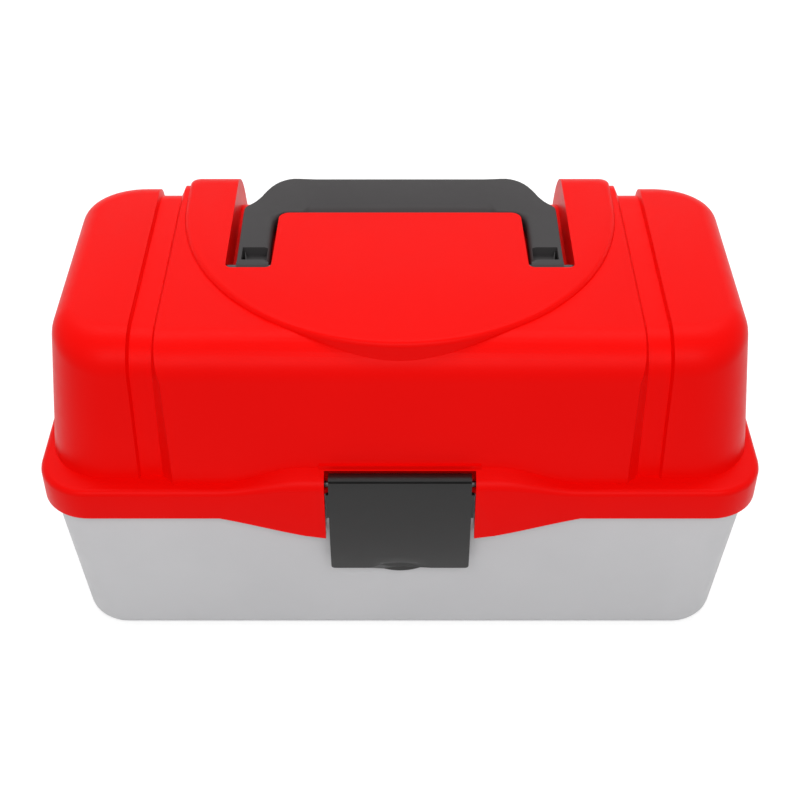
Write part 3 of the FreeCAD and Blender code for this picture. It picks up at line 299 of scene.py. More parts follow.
def profile(name, span, outline):
    """A four-sided bar along X between two places, its corners given in Y and Z."""
    piece = block(name, (span[0], 0, 0), (span[1], 1, 1))
    corners = dict(zip(((0, 0), (1, 0), (1, 1), (0, 1)), outline))
    reshape(piece, lambda co: Vector((co.x, *corners[(round(co.y), round(co.z))])))
    recalculate(piece)
    return piece


def reshape(piece, move):
    """Moves each vertex to where move() says."""
    for vertex in piece.data.vertices:
        vertex.co = move(vertex.co.copy())
    piece.data.update()


def middle_of(edge):
    return (edge.verts[0].co + edge.verts[1].co) / 2


def along(edge):
    return (edge.verts[1].co - edge.verts[0].co).normalized()


def upright(edge):
    return abs(along(edge).z) > 0.9


class Edit:
    """Edit mode on one piece, with selection by place."""

    def __init__(self, piece):
        self.piece = piece

    def __enter__(self):
        activate(self.piece)
        bpy.ops.object.mode_set(mode="EDIT")
        return self

    def __exit__(self, *error):
        bpy.ops.object.mode_set(mode="OBJECT")

    def pick(self, kind, test):
        """Selects the vertices, edges or faces that test() accepts, and nothing else."""
        bpy.ops.mesh.select_mode(type=kind)
        bpy.ops.mesh.select_all(action="DESELECT")
        mesh = bmesh.from_edit_mesh(self.piece.data)
        for item in {"VERT": mesh.verts, "EDGE": mesh.edges, "FACE": mesh.faces}[kind]:
            if test(item):
                item.select_set(True)
        mesh.select_flush_mode()
        bmesh.update_edit_mesh(self.piece.data)

    def round_off(self, test, width, segments):
        """Rounds the edges that test() accepts."""
        self.pick("EDGE", test)
        bpy.ops.mesh.bevel(offset=width, segments=segments, profile=0.5)

    def weigh(self, weight):
        """Gives each edge the bevel weight that weight() says."""
        mesh = bmesh.from_edit_mesh(self.piece.data)
        layers, name = mesh.edges.layers.float, "bevel_weight_edge"
        layer = layers.get(name) or layers.new(name)
        for edge in mesh.edges:
            edge[layer] = weight(edge)
        bmesh.update_edit_mesh(self.piece.data)

    def slice(self, axis, places):
        """Cuts new edges across the piece at places along an axis."""
        normal = [float(axis == letter) for letter in "XYZ"]
        for spot in places:
            bpy.ops.mesh.select_all(action="SELECT")
            bpy.ops.mesh.bisect(plane_co=[spot * n for n in normal], plane_no=normal)


def recalculate(piece):
    """Turns all faces outwards."""
    with Edit(piece):
        bpy.ops.mesh.select_all(action="SELECT")
        bpy.ops.mesh.normals_make_consistent(inside=False)


def modify(piece, kind, **settings):
    """Adds a modifier, sets it up and applies it."""
    activate(piece)
    modifier = piece.modifiers.new(kind.title(), kind)
    for name, value in settings.items():
        setattr(modifier, name, value)
    bpy.ops.object.modifier_apply(modifier=modifier.name)


def combine(piece, other, operation):
    """Adds another closed piece to this one, or takes it away, and removes the other."""
    modify(piece, "BOOLEAN", operation=operation, solver="EXACT", object=other)
    bpy.data.objects.remove(other)


def bore(piece, start, end, line, radius):
    """Drills a hole along X between two places, on a line given in Y and Z."""
    combine(piece, rod("bore", (start, *line), (end, *line), radius, 32), "DIFFERENCE")


def loft(name, rings):
    """A closed body through rings of points, drawn out one ring at a time from a disc."""
    deselect()
    bpy.ops.mesh.primitive_circle_add(vertices=len(rings[0]), radius=1, fill_type="NGON")
    piece = named(name)
    for vertex, point in zip(piece.data.vertices, rings[0]):
        vertex.co = point
    with Edit(piece):
        bpy.ops.mesh.select_mode(type="FACE")
        bpy.ops.mesh.select_all(action="SELECT")
        for before, after in zip(rings, rings[1:]):
            bpy.ops.mesh.extrude_region_move()
            mesh = bmesh.from_edit_mesh(piece.data)
            fresh = [vertex for vertex in mesh.verts if vertex.select]
            for start, end in zip(before, after):
                nearest = min(fresh, key=lambda vertex: (vertex.co - Vector(start)).length_squared)
                fresh.remove(nearest)
                nearest.co = end
            bmesh.update_edit_mesh(piece.data)
    recalculate(piece)
    return piece


def rounded_block(name, half_x, half_y, low, high, corner, segments=16):
    """A block round the Z axis with its upright edges rounded."""
    piece = block(name, (-half_x, -half_y, low), (half_x, half_y, high))
    with Edit(piece) as edit:
        edit.round_off(upright, corner, segments)
    return piece


def smooth(piece, angle=30):
    """Shades the piece smooth across edges flatter than the angle."""
    activate(piece)
    bpy.ops.object.shade_smooth_by_angle(angle=math.radians(angle))


def ramp(value, start, end):
    """0 before start, 1 after end, and an even slope between them."""
    return min(max((value - start) / (end - start), 0), 1)


def ease(value, start, end):
    """0 before start, 1 after end, and a soft S between them."""
    share = ramp(value, start, end)
    return share * share * (3 - 2 * share)


# --- lid ------------------------------------------------------------------------------------

def dome(name, offset, foot):
    """The lid's dome as a closed block, all of it moved in by the offset.

    Its walls lean, its corners and shoulders are round, it has two grooves, and its middle stands out.
    """
    def half(inset, height):
        return inset - offset + (RIM_TOP - height) * DRAFT

    end_x = LENGTH / 2 - END_WALL_INSET
    end_y = DEPTH / 2 - END_INSET
    top = LID_TOP - offset
    piece = block(name, (-half(end_x, foot), -half(end_y, foot), foot),
                  (half(end_x, foot), half(end_y, foot), top))

    def lean(co):
        if co.z > RIM_TOP:
            co.x = math.copysign(half(end_x, co.z), co.x)
            co.y = math.copysign(half(end_y, co.z), co.y)
        return co

    reshape(piece, lean)
    side, back, end = SHOULDER - offset, BACK_SHOULDER - offset, END_SHOULDER - offset

    def weight(edge):
        """The top's edges only: wide at the front, less at the back, and least at the ends."""
        if middle_of(edge).z < top - MM or abs(along(edge).z) > 0.1:
            return 0
        across = abs(along(edge).x) ** 2
        reach = side if middle_of(edge).y < 0 else back
        return (end + (reach - end) * across) / side

    with Edit(piece) as edit:
        edit.round_off(upright, LID_CORNER - offset, 16)
        edit.weigh(weight)
    modify(piece, "BEVEL", limit_method="WEIGHT", width=side * SHOULDER_BEVEL, segments=12, profile=0.5,
           use_clamp_overlap=False)
    places = (END_EDGE + offset, GROOVE_OUTER + offset, GROOVE_INNER - offset, MIDDLE_EDGE_TOP - offset)
    outer, inner, middle = places[1:]
    with Edit(piece) as edit:
        edit.slice("X", [sign * spot for spot in places for sign in (-1, 1)])

    def groove(co):
        """Moves the groove in and down, and the middle out."""
        reach, outward = abs(co.x), math.copysign(1, co.y)
        if reach > outer + NEAR:
            return co
        if reach > inner - NEAR:
            co.y -= outward * GROOVE_IN
            if co.z > SHOULDER_START:
                co.z -= GROOVE_DROP
            return co
        if reach > middle - NEAR:
            wallness = min(max((top - co.z) / side, 0), 1) ** 2
            co.x -= math.copysign((MIDDLE_EDGE_TOP - MIDDLE_EDGE_WALL) * wallness, co.x)
        co.y += outward * MIDDLE_OUT
        return co

    reshape(piece, groove)
    return piece


def boss(name, offset):
    """The raised field round the handle: half an ellipse in front, straight sides and a deep round behind."""
    top = BOSS_TOP - offset
    corner = BOSS_CORNER - offset

    def inset(radius, height):
        """How far a rounded edge has moved in at a height."""
        rise = max(height - top + radius, 0)
        return radius - math.sqrt(radius ** 2 - rise ** 2)

    def ring(height):
        edge = offset + inset(BOSS_EDGE - offset, height)
        half, reach = BOSS_HALF - edge, BOSS_REACH - edge
        back = BOSS_BACK - offset - inset(BOSS_BACK_EDGE - offset, height)
        points = [(half * math.cos(turn), BOSS_CENTRE - reach * math.sin(turn))
                  for turn in (step / BOSS_STEPS * math.pi for step in range(BOSS_STEPS + 1))]
        points += [(corner - half - corner * math.cos(turn), back - corner + corner * math.sin(turn))
                   for turn in QUARTER]
        points += [(half - corner + corner * math.cos(turn), back - corner + corner * math.sin(turn))
                   for turn in reversed(QUARTER)]
        return [(x, y, height) for x, y in points]

    heights = {BOSS_FOOT}
    for radius in (BOSS_EDGE - offset, BOSS_BACK_EDGE - offset):
        heights.update(round(top - radius * (1 - math.sin(turn)), 6) for turn in QUARTER)
    return loft(name, [ring(height) for height in sorted(heights)])


def recess(name, offset):
    """The handle's recess: slots beside a tongue, joined behind it, the floor rounding down at the back."""
    front, floor = -RECESS_FRONT - offset, RECESS_FLOOR - offset
    piece = block(name, (-1, front, floor), (1, DEPTH, RECESS_OPEN))
    tongue = block("tongue", (-1, front - TONGUE_START, floor - MM),
                   (1, TONGUE_BACK - offset, RECESS_OPEN + MM))

    def lean(co):
        co.x = math.copysign(RECESS_HALF + offset - RECESS_LEAN * (BOSS_TOP - co.z), co.x)
        return co

    def narrow(co):
        co.x = math.copysign(TONGUE_HALF - offset - TONGUE_NARROWING * (co.y + RECESS_FRONT), co.x)
        return co

    def slot_corner(edge):
        """Where a slot's front meets the tongue."""
        spot = middle_of(edge)
        return upright(edge) and abs(spot.y - front) < NEAR and abs(spot.x) < TONGUE_HALF + 2 * MM

    reshape(piece, lean)
    reshape(tongue, narrow)
    with Edit(piece) as edit:
        edit.round_off(lambda edge: upright(edge) and middle_of(edge).y < 0, RECESS_CORNER, 6)
    with Edit(tongue) as edit:
        edit.round_off(lambda edge: upright(edge) and middle_of(edge).y > 0, TONGUE_CORNER, 8)
    combine(piece, tongue, "DIFFERENCE")
    with Edit(piece) as edit:
        edit.round_off(slot_corner, RECESS_CORNER, 6)
    level = RECESS_FLOOR - RECESS_ROUND
    turn = DEPTH / 2 - END_INSET + MIDDLE_OUT - (level - RIM_TOP) * DRAFT - RECESS_ROUND
    drop = block("drop", (-1, turn, level), (1, DEPTH, RECESS_OPEN))
    reshape(drop, lean)
    combine(drop, rod("drop_round", (-DEPTH, turn, level), (DEPTH, turn, level), RECESS_ROUND - offset, 96),
            "DIFFERENCE")
    combine(piece, drop, "UNION")
    return piece


def rim():
    """The lid's rim: a thick lip that rises and dips into a brow round the latch."""
    piece = rounded_block("rim", LENGTH / 2, DEPTH / 2, RIM_LOW, RIM_TOP, RIM_CORNER)
    with Edit(piece) as edit:
        edit.round_off(lambda edge: all(vertex.co.z > RIM_TOP - NEAR for vertex in edge.verts), RIM_EDGE, 4)
        steps = [BROW_FULL + step * (BROW_START - BROW_FULL) / BROW_STEPS for step in range(BROW_STEPS + 1)]
        edit.slice("X", [sign * spot for spot in [CUTOUT_HALF] + steps for sign in (-1, 1)])
        edit.slice("Y", [-DEPTH / 2 + BROW_DEPTH, -DEPTH / 2 + BROW_DEPTH + 2 * MM])

    def brow(co):
        inward = co.y + DEPTH / 2
        if inward > BROW_DEPTH + MM:
            return co
        rise = ease(-abs(co.x), -BROW_START, -BROW_FULL)
        dip = ramp(-abs(co.x), -BROW_START, -BROW_LOW)
        if co.z < RIM_LOW + MM:
            co.z -= BROW_DROP * dip
        else:
            co.z += rise * (BROW_EDGE_RISE + (BROW_ROOT_RISE - BROW_EDGE_RISE) * inward / BROW_DEPTH)
        if inward < BROW_LIP:
            co.y -= BROW_BULGE * rise
        return co

    reshape(piece, brow)
    return piece


def latch_pocket():
    """What is cut from brow and dome for the latch: a slot through the rim and a pocket above it."""
    piece = rounded_block("pocket", CUTOUT_HALF, POCKET_DEPTH, RIM_TOP, POCKET_TOP, POCKET_CORNER, 2)
    reshape(piece, lambda co: co - Vector((0, DEPTH / 2, 0)))
    slot = block("slot", (-CUTOUT_HALF, -DEPTH, BELOW_RIM),
                 (CUTOUT_HALF, -DEPTH / 2 + SKIRT + NEAR, POCKET_TOP))
    combine(piece, slot, "UNION")
    return piece


def pocket_wall():
    """The wall behind and beside the latch's pocket."""
    half = CUTOUT_HALF + WALL
    return block("pocket_wall", (-half, -DEPTH / 2 + POCKET_WALL_START, LEDGE),
                 (half, -DEPTH / 2 + POCKET_DEPTH + WALL, POCKET_TOP + WALL))


def hinge_knuckles(piece, spans, web):
    """Adds a hinge barrel over each span, with a web whose four corners are given in Y and Z."""
    for span in spans:
        low, high = sorted(span)
        barrel = rod("knuckle", (low, *HINGE), (high, *HINGE), HINGE_BARREL, 40)
        combine(barrel, profile("web", (low, high), web), "UNION")
        combine(piece, barrel, "UNION")


def tray_boss(piece, sign, pivot):
    """Adds the boss for a tray's pin inside the lid's end wall, with its hole."""
    stub = rod("tray_boss", (sign * TRAY_BOSS_INNER, *pivot), (sign * TRAY_BOSS_OUTER, *pivot), PIVOT_BOSS)
    combine(stub, dome("dome_limit", WALL / 2, DOME_FOOT), "INTERSECT")
    combine(piece, stub, "UNION")
    bore(piece, sign * PIVOT_BORE_START, sign * TRAY_BORE_END, pivot, PIVOT_BORE)


def lid_shell():
    """The lid: dome, raised field and rim, hollowed, with the handle's recess, the pocket and the hinges."""
    piece = dome("lid", 0, LEDGE)
    combine(piece, boss("boss", 0), "UNION")
    combine(piece, rim(), "UNION")
    inside = dome("inside", WALL, DOME_FOOT)
    combine(inside, boss("inside_boss", WALL), "UNION")
    combine(inside, recess("recess_wall", WALL), "DIFFERENCE")
    combine(piece, inside, "DIFFERENCE")
    combine(piece, rounded_block("skirt_inside", LENGTH / 2 - SKIRT, DEPTH / 2 - SKIRT, BELOW_RIM, LEDGE,
                                 RIM_CORNER - SKIRT), "DIFFERENCE")
    combine(piece, pocket_wall(), "UNION")
    combine(piece, recess("recess", 0), "DIFFERENCE")
    combine(piece, latch_pocket(), "DIFFERENCE")
    web = [(HINGE[0] - HINGE_BARREL, HINGE[1]), (HINGE[0] + HINGE_BARREL, HINGE[1]),
           (DEPTH / 2 + WALL, RIM_TOP - RIM_EDGE), (DEPTH / 2 - MM, RIM_TOP - RIM_EDGE)]
    hinge_knuckles(piece, [(sign * HINGE_PLACE - HINGE_LID_HALF, sign * HINGE_PLACE + HINGE_LID_HALF)
                           for sign in (-1, 1)], web)
    bore(piece, -HINGE_REACH, HINGE_REACH, HINGE, HINGE_BORE)
    for sign in (-1, 1):
        for pivot in (LOWER_PIVOT, UPPER_PIVOT):
            tray_boss(piece, sign, pivot)
    return piece


# --- tub ------------------------------------------------------------------------------------

def tub_block(name, offset, top):
    """The tub's drafted block, moved in by an offset, with round corners and a rounded foot."""
    def spread(half, height):
        return half - offset - (TUB_TOP - height) * TUB_DRAFT

    piece = block(name, (-1, -1, offset), (1, 1, top))
    reshape(piece, lambda co: Vector((math.copysign(spread(TUB_HALF_LENGTH, co.z), co.x),
                                      math.copysign(spread(TUB_HALF_DEPTH, co.z), co.y), co.z)))
    with Edit(piece) as edit:
        edit.round_off(upright, TUB_CORNER - offset, 14)
        edit.round_off(lambda edge: all(vertex.co.z < offset + NEAR for vertex in edge.verts),
                       (TUB_FOOT - offset) * FOOT_BEVEL, 8)
    return piece


def arm_foot_boss(piece, sign):
    """Adds the boss for an arm's foot pin inside the tub's end wall, with its hole."""
    combine(piece, rod("foot_boss", (sign * FOOT_BOSS_INNER, *ARM_FOOT),
                       (sign * FOOT_BOSS_OUTER, *ARM_FOOT), PIVOT_BOSS), "UNION")
    bore(piece, sign * PIVOT_BORE_START, sign * FOOT_BORE_END, ARM_FOOT, PIVOT_BORE)


def base_tub():
    """The tub: a hollow drafted block with a catch, two ribs, hinge knuckles and the arms' foot bosses."""
    piece = tub_block("tub", 0, TUB_TOP)
    catch = block("catch", (-CATCH_HALF, CATCH_FACE, CATCH_LOW),
                  (CATCH_HALF, CATCH_FACE + CATCH_DEPTH, CATCH_HIGH))
    combine(piece, catch, "UNION")
    for sign in (-1, 1):
        span = sorted((sign * RIB_INNER, sign * (RIB_INNER + RIB_WIDTH)))
        combine(piece, profile("rib", span, RIB_OUTLINE), "UNION")
    near = HINGE_LID_HALF + KNUCKLE_GAP
    far = near + HINGE_KNUCKLE
    hinge_knuckles(piece, [(sign * HINGE_PLACE + side * near, sign * HINGE_PLACE + side * far)
                           for sign in (-1, 1) for side in (-1, 1)], BRACKET_OUTLINE)
    combine(piece, tub_block("tub_inside", WALL, TUB_TOP + WALL), "DIFFERENCE")
    for sign in (-1, 1):
        arm_foot_boss(piece, sign)
    bore(piece, -HINGE_REACH, HINGE_REACH, HINGE, HINGE_BORE)
    return piece


# --- latch ----------------------------------------------------------------------------------

def latch_ring(height, lip):
    """The plate's front from left to right and its back from right to left, the lip scooped from both."""
    rise = height - (LATCH_LOW + LATCH_TOP) / 2
    front = LATCH_FACE + LATCH_BOW - math.sqrt(LATCH_BOW ** 2 - rise ** 2)
    columns = [step / LATCH_COLUMNS * LATCH_HALF for step in range(-LATCH_COLUMNS, LATCH_COLUMNS + 1)]
    scoop = [lip * max(1 - (x / LIP_HALF) ** 2, 0) for x in columns]
    points = [(x, front, height + share * LIP_RISE) for x, share in zip(columns, scoop)]
    points += [(x, front + LATCH_PLATE, height - share * LIP_DROP)
               for x, share in zip(reversed(columns), reversed(scoop))]
    return points


def latch():
    """The latch: a bowed plate with a scooped lip, a barrel and a crest at its top, and a hook behind."""
    heights = [LATCH_TOP - step * (LATCH_TOP - LIP_START) / LATCH_ROWS for step in range(LATCH_ROWS + 1)]
    piece = loft("latch", [latch_ring(height, 0) for height in heights] + [latch_ring(LATCH_LOW, 1)])

    def low_corner(edge):
        spot = middle_of(edge)
        return abs(along(edge).y) > 0.9 and abs(spot.x) > LATCH_HALF - NEAR and spot.z < LATCH_LOW + NEAR

    with Edit(piece) as edit:
        edit.round_off(low_corner, LATCH_CORNER, 5)
    modify(piece, "BEVEL", limit_method="ANGLE", angle_limit=math.radians(50), width=LATCH_EDGE, segments=3)
    ends = (-LATCH_HALF, *LATCH_PIVOT), (LATCH_HALF, *LATCH_PIVOT)
    combine(piece, rod("barrel", *ends, LATCH_BARREL), "UNION")
    crest = rod("crest", *ends, CREST)
    limit = block("crest_limit", (-1, CREST_FRONT, CREST_FOOT), (1, CREST_BACK, POCKET_TOP))
    combine(crest, limit, "INTERSECT")
    combine(piece, crest, "UNION")
    hook = block("hook", (-HOOK_HALF, HOOK_FRONT, HOOK_LOW), (HOOK_HALF, HOOK_BACK, HOOK_HIGH))
    combine(piece, hook, "UNION")
    # Painted shade: a dark block on each side of the plate fills the gap to the cut-out and stands in for
    # that gap's shadow.
    for sign in (-1, 1):
        near, far = sorted((sign * SHADE_FILL_INNER, sign * SHADE_FILL_OUTER))
        combine(piece, block("shade_fill", (near, SHADE_FILL_FRONT, SHADE_FILL_LOW), (far, SHADE_FILL_BACK, SHADE_FILL_HIGH)), "UNION")
    bore(piece, -1, 1, LATCH_PIVOT, LATCH_BORE)
    return piece


# --- handle ---------------------------------------------------------------------------------

def handle_ring(outer, inner):
    """The handle's section between its edges: flat in the legs, deep and rounded in the grip."""
    outer, inner = Vector(outer) * MM, Vector(inner) * MM
    web, deepening, grip = (ease(-inner.x, -start, -full) for start, full in (WEB, DEEPENING, GRIP))
    floor = LEG_FLOOR + (GRIP_FLOOR - LEG_FLOOR) * deepening
    width = (outer - inner).length
    across = (outer - inner) / width
    inner_round = LEG_INNER_ROUND - WEB_ROUND_LOSS * web + GRIP_INNER_GAIN * grip
    outer_round = LEG_OUTER_ROUND + GRIP_OUTER_GAIN * grip
    under_round = LEG_UNDER_ROUND + GRIP_UNDER_GAIN * grip
    corners = [(0, HANDLE_TOP, inner_round, math.pi), (width, HANDLE_TOP, outer_round, math.pi / 2),
               (width, floor, under_round, 0), (0, floor, under_round, -math.pi / 2)]
    points = []
    for edge, height, radius, start in corners:
        side = 1 if edge else -1
        up = 1 if height == HANDLE_TOP else -1
        for turn in QUARTER:
            angle = start - turn
            spot = inner + across * (edge - side * radius + radius * math.cos(angle))
            points.append((spot.x, spot.y, height - up * radius + radius * math.sin(angle)))
    return points


def leg_bar(name, sign, near, far, low, high):
    """A bar in a leg end's pocket, its two sides given in X at the pocket's front and at its back."""
    piece = block(name, (0, LEG_POCKET_FRONT, low), (1, LEG_POCKET_BACK, high))
    reshape(piece, lambda co: Vector((sign * (near, far)[round(co.x)][co.y > 0], co.y, co.z)))
    recalculate(piece)
    return piece


def leg_end(piece, sign):
    """Adds a leg's barrel, sinks the pocket in its end and leaves a ridge and a slit in it."""
    inner, outer = (sign * LEG_INNER, *HANDLE_PIVOT), (sign * LEG_OUTER, *HANDLE_PIVOT)
    combine(piece, rod("barrel", inner, outer, HANDLE_BARREL), "UNION")
    pocket = leg_bar("pocket", sign, LEG_POCKET_INNER, LEG_POCKET_OUTER, LEG_POCKET_FLOOR, LEG_POCKET_OPEN)
    combine(piece, pocket, "DIFFERENCE")
    slit = leg_bar("slit", sign, RIDGE_OUTER, LEG_POCKET_OUTER, SLIT_FLOOR, LEG_POCKET_OPEN)
    combine(piece, slit, "DIFFERENCE")
    ridge = leg_bar("ridge", sign, RIDGE_INNER, RIDGE_OUTER, LEG_POCKET_FLOOR - MM, RIDGE_HIGH)
    combine(piece, ridge, "UNION")


def handle():
    """The folding handle: two flat legs that turn through shoulders into a deeper, rounded grip."""
    piece = loft("handle", [handle_ring(outer, inner) for outer, inner in HANDLE_EDGES])
    with Edit(piece) as edit:
        edit.pick("FACE", lambda face: abs(face.calc_center_median().x) < NEAR)
        bpy.ops.mesh.delete(type="FACE")
    modify(piece, "MIRROR", use_axis=(True, False, False))
    recalculate(piece)
    for sign in (-1, 1):
        leg_end(piece, sign)
    bore(piece, -1, 1, HANDLE_PIVOT, HANDLE_BORE)
    return piece


# --- the pieces -----------------------------------------------------------------------------

def dress(node, edge=TRAY_EDGE):
    """A merged copy of a CAD node with its sharp edges softened, to stand for the node."""
    original = bpy.data.objects[node]
    piece = original.copy()
    piece.data = original.data.copy()
    piece.parent = None
    piece.matrix_world = original.matrix_world.copy()
    piece.name = node + "_body"
    bpy.context.scene.collection.objects.link(piece)
    with Edit(piece):
        bpy.ops.mesh.select_all(action="SELECT")
        bpy.ops.mesh.remove_doubles(threshold=0.001 * MM)
        bpy.ops.mesh.dissolve_limited(angle_limit=math.radians(0.5))
    modify(piece, "BEVEL", limit_method="ANGLE", angle_limit=math.radians(35), width=edge, segments=2)
    return piece


def place(piece, body, node, slot_name):
    """Lets a piece stand for a CAD node: it moves with the body and takes its finish from the slot."""
    smooth(piece)
    piece.data.materials.clear()
    piece.data.materials.append(finish(slot_name))
    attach(piece, body)
    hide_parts(node)


# --- finishes -------------------------------------------------------------------------------

class Nodes:
    """A material's nodes, added and joined by name."""

    def __init__(self, name):
        self.material = bpy.data.materials.new(name)
        self.material.use_nodes = True
        self.tree = self.material.node_tree
        self.shader = self.tree.nodes["Principled BSDF"]
        self.spot = self.tree.nodes.new("ShaderNodeTexCoord").outputs["Object"]

    def join(self, output, socket):
        self.tree.links.new(output, socket)

    def noise(self, scale, detail=3):
        """A noise with so many waves in a metre."""
        node = self.tree.nodes.new("ShaderNodeTexNoise")
        node.inputs["Scale"].default_value = scale
        node.inputs["Detail"].default_value = detail
        self.join(self.spot, node.inputs["Vector"])
        return node.outputs["Fac"]

    def spread(self, value, low, high):
        """Stretches the middle of a noise over a range."""
        node = self.tree.nodes.new("ShaderNodeMapRange")
        for name, number in (("From Min", 0.35), ("From Max", 0.65), ("To Min", low), ("To Max", high)):
            node.inputs[name].default_value = number
        self.join(value, node.inputs["Value"])
        return node.outputs["Result"]

    def blend(self, value, first, second):
        """Goes from one colour to another with a value."""
        node = self.tree.nodes.new("ShaderNodeMix")
        node.data_type = "RGBA"
        node.inputs["A"].default_value = (*first, 1)
        node.inputs["B"].default_value = (*second, 1)
        self.join(value, node.inputs["Factor"])
        return node.outputs["Result"]

    def bump(self, height, strength, distance):
        node = self.tree.nodes.new("ShaderNodeBump")
        node.inputs["Strength"].default_value = strength
        node.inputs["Distance"].default_value = distance
        self.join(height, node.inputs["Height"])
        self.join(node.outputs["Normal"], self.shader.inputs["Normal"])


def moulded(name, first, second, rough, grain, depth, gloss=0.5, tint=(1, 1, 1)):
    """Moulded plastic: a slow drift between two near colours, uneven gloss and a fine grain."""
    nodes = Nodes(name)
    nodes.shader.inputs["Specular IOR Level"].default_value = gloss
    nodes.shader.inputs["Specular Tint"].default_value = (*tint, 1)
    drift = nodes.spread(nodes.noise(22), 0, 1)
    nodes.join(nodes.blend(drift, first, second), nodes.shader.inputs["Base Color"])
    nodes.join(nodes.spread(nodes.noise(160), rough[0], rough[1]), nodes.shader.inputs["Roughness"])
    nodes.bump(nodes.noise(grain, 2), 0.35, depth)
    return nodes.material


def red_plastic():
    """The lid's red, whose faint gloss takes some of its colour."""
    return moulded("moulded_red_plastic", (0.86, 0.0018, 0.0008), (0.845, 0.0016, 0.0007), rough=(0.37, 0.41),
                   grain=1500, depth=0.06 * MM, gloss=0.11, tint=(1, 0.5, 0.5))


def grey_plastic():
    """The tub's light grey, a little cool."""
    return moulded("moulded_grey_plastic", (0.63, 0.63, 0.645), (0.61, 0.61, 0.625), rough=(0.38, 0.48),
                   grain=1300, depth=0.05 * MM, gloss=0.3)


def dark_plastic():
    """The handle's and arms' charcoal, a little warm and almost matt."""
    return moulded("moulded_dark_plastic", (0.054, 0.051, 0.052), (0.051, 0.048, 0.049), rough=(0.43, 0.48),
                   grain=1700, depth=0.08 * MM, gloss=0.12)


def latch_plastic():
    """The latch's near black, with more gloss."""
    return moulded("moulded_latch_plastic", (0.005, 0.005, 0.005), (0.004, 0.004, 0.004), rough=(0.36, 0.40),
                   grain=1700, depth=0.06 * MM, gloss=0.4)


def tray_plastic():
    """The trays' and dividers' middle grey."""
    return moulded("moulded_tray_plastic", (0.42, 0.42, 0.43), (0.39, 0.39, 0.40), rough=(0.40, 0.50),
                   grain=1300, depth=0.05 * MM)


def steel():
    """Dark steel wire with fine scratches."""
    nodes = Nodes("dark_steel")
    nodes.shader.inputs["Metallic"].default_value = 1
    nodes.join(nodes.blend(nodes.noise(90), (0.08, 0.08, 0.082), (0.06, 0.06, 0.062)),
               nodes.shader.inputs["Base Color"])
    nodes.join(nodes.spread(nodes.noise(500), 0.22, 0.38), nodes.shader.inputs["Roughness"])
    nodes.bump(nodes.noise(2500, 2), 0.2, 0.02 * MM)
    return nodes.material


FINISHES = {"red_plastic": red_plastic, "grey_plastic": grey_plastic, "dark_plastic": dark_plastic,
            "latch_plastic": latch_plastic, "tray_plastic": tray_plastic, "steel": steel}
MADE = {}


def finish(slot_name):
    """The finish for a slot, made once."""
    if slot_name not in MADE:
        MADE[slot_name] = FINISHES[slot_name]()
    return MADE[slot_name]


# --- the object -----------------------------------------------------------------------------

TRAYS = ("lower", "upper")
place(lid_shell(), "lid", "lid_shell", "red_plastic")
place(base_tub(), "base", "base_tub", "grey_plastic")
place(latch(), "latch", "latch", "latch_plastic")
place(handle(), "handle", "handle", "dark_plastic")
place(dress("latch_pin", WIRE_EDGE), "lid", "latch_pin", "steel")
for tray in TRAYS:
    place(dress(tray + "_tray"), tray + "_tray", tray + "_tray", "tray_plastic")
    for spot in ("left", "middle", "right"):
        place(dress(f"{tray}_divider_{spot}"), tray + "_tray", f"{tray}_divider_{spot}", "tray_plastic")
for side in ("left", "right"):
    place(dress("arm_" + side, ARM_EDGE), "arm_" + side, "arm_" + side, "dark_plastic")
    place(dress("handle_pin_" + side, WIRE_EDGE), "lid", "handle_pin_" + side, "steel")
    place(dress("hinge_pin_" + side, WIRE_EDGE), "base", "hinge_pin_" + side, "steel")
    place(dress("arm_foot_pin_" + side), "base", "arm_foot_pin_" + side, "dark_plastic")
    for tray in TRAYS:
        place(dress(f"{tray}_tray_pin_{side}"), "lid", f"{tray}_tray_pin_{side}", "dark_plastic")
        place(dress(f"{tray}_arm_pin_{side}"), "arm_" + side, f"{tray}_arm_pin_{side}", "dark_plastic")


# --- floor, light and camera ----------------------------------------------------------------

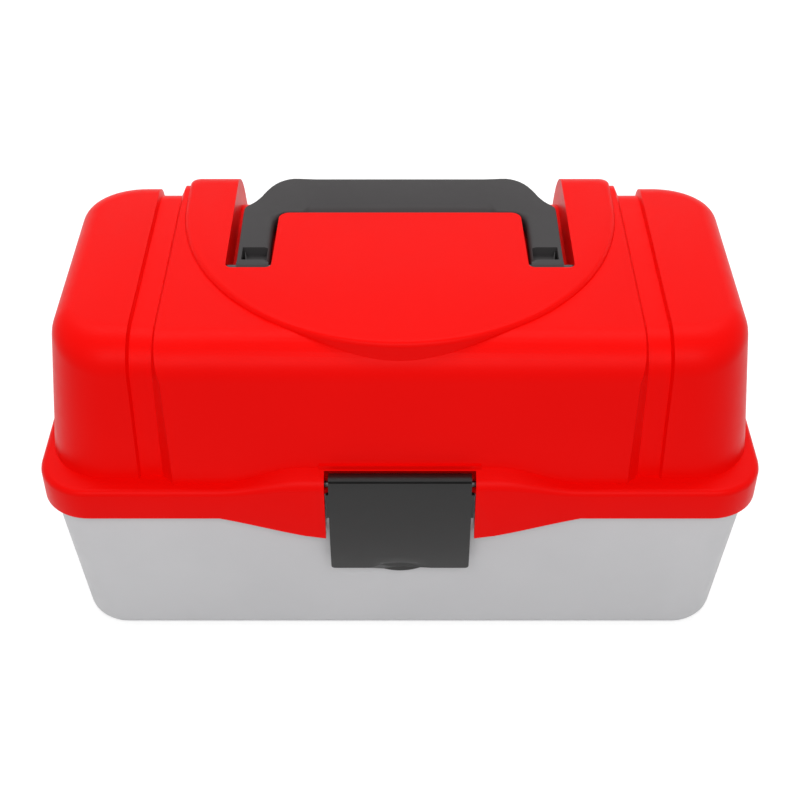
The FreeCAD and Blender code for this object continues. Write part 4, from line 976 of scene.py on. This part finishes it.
def seen_level(tree, hidden, seen):
    """One level for what is seen, directly, mirrored or through glass, and another for what only lights."""
    path = tree.nodes.new("ShaderNodeLightPath")
    share = path.outputs["Is Camera Ray"]
    for ray in ("Is Glossy Ray", "Is Transmission Ray"):
        either = tree.nodes.new("ShaderNodeMath")
        either.operation = "MAXIMUM"
        tree.links.new(share, either.inputs[0])
        tree.links.new(path.outputs[ray], either.inputs[1])
        share = either.outputs["Value"]
    level = tree.nodes.new("ShaderNodeMapRange")
    level.inputs["To Min"].default_value = hidden
    level.inputs["To Max"].default_value = seen
    tree.links.new(share, level.inputs["Value"])
    return level.outputs["Result"]


def pale_floor():
    """A pale floor that shows white to the camera and keeps the object's shadow."""
    deselect()
    bpy.ops.mesh.primitive_plane_add(size=FLOOR_SIZE)
    piece = named("floor")
    material = bpy.data.materials.new("floor")
    material.use_nodes = True
    tree = material.node_tree
    shader = tree.nodes["Principled BSDF"]
    shader.inputs["Base Color"].default_value = (0.6, 0.6, 0.6, 1)
    shader.inputs["Roughness"].default_value = 0.9
    shader.inputs["Specular IOR Level"].default_value = 0
    shader.inputs["Emission Color"].default_value = (1, 1, 1, 1)
    tree.links.new(seen_level(tree, 0, FLOOR_GLOW), shader.inputs["Emission Strength"])
    piece.data.materials.append(material)


def white_world():
    """A white surrounding that lights at a lower level than it shows."""
    made = bpy.data.worlds.new("world")
    made.use_nodes = True
    background = made.node_tree.nodes["Background"]
    background.inputs["Color"].default_value = (1, 1, 1, 1)
    made.node_tree.links.new(seen_level(made.node_tree, WORLD_LEVEL, 1), background.inputs["Strength"])
    bpy.context.scene.world = made


def softbox(name, location, target, power):
    """A wide soft light that faces a target."""
    deselect()
    turn = (Vector(target) - Vector(location)).to_track_quat("-Z", "Y").to_euler()
    bpy.ops.object.light_add(type="AREA", location=location, rotation=turn)
    lamp = bpy.context.object
    lamp.name = name
    lamp.data.shape = "RECTANGLE"
    lamp.data.size, lamp.data.size_y = SOFTBOX
    lamp.data.energy = power


def camera():
    """The camera, in front of the object and looking down at it."""
    data = bpy.data.cameras.new("camera")
    data.lens = LENS
    data.sensor_width = SENSOR
    thing = bpy.data.objects.new("camera", data)
    bpy.context.scene.collection.objects.link(thing)
    thing.location = CAMERA_PLACE
    thing.rotation_euler = (CAMERA_TILT, 0, 0)
    bpy.context.scene.camera = thing


pale_floor()
white_world()
softbox("front", (0, -1.15, 1.25), (0, 0, 0.1), FRONT_POWER)
softbox("overhead", (0, 0.45, 1.5), (0, 0, 0.15), OVERHEAD_POWER)
camera()
bpy.context.scene.view_settings.view_transform = "Standard"
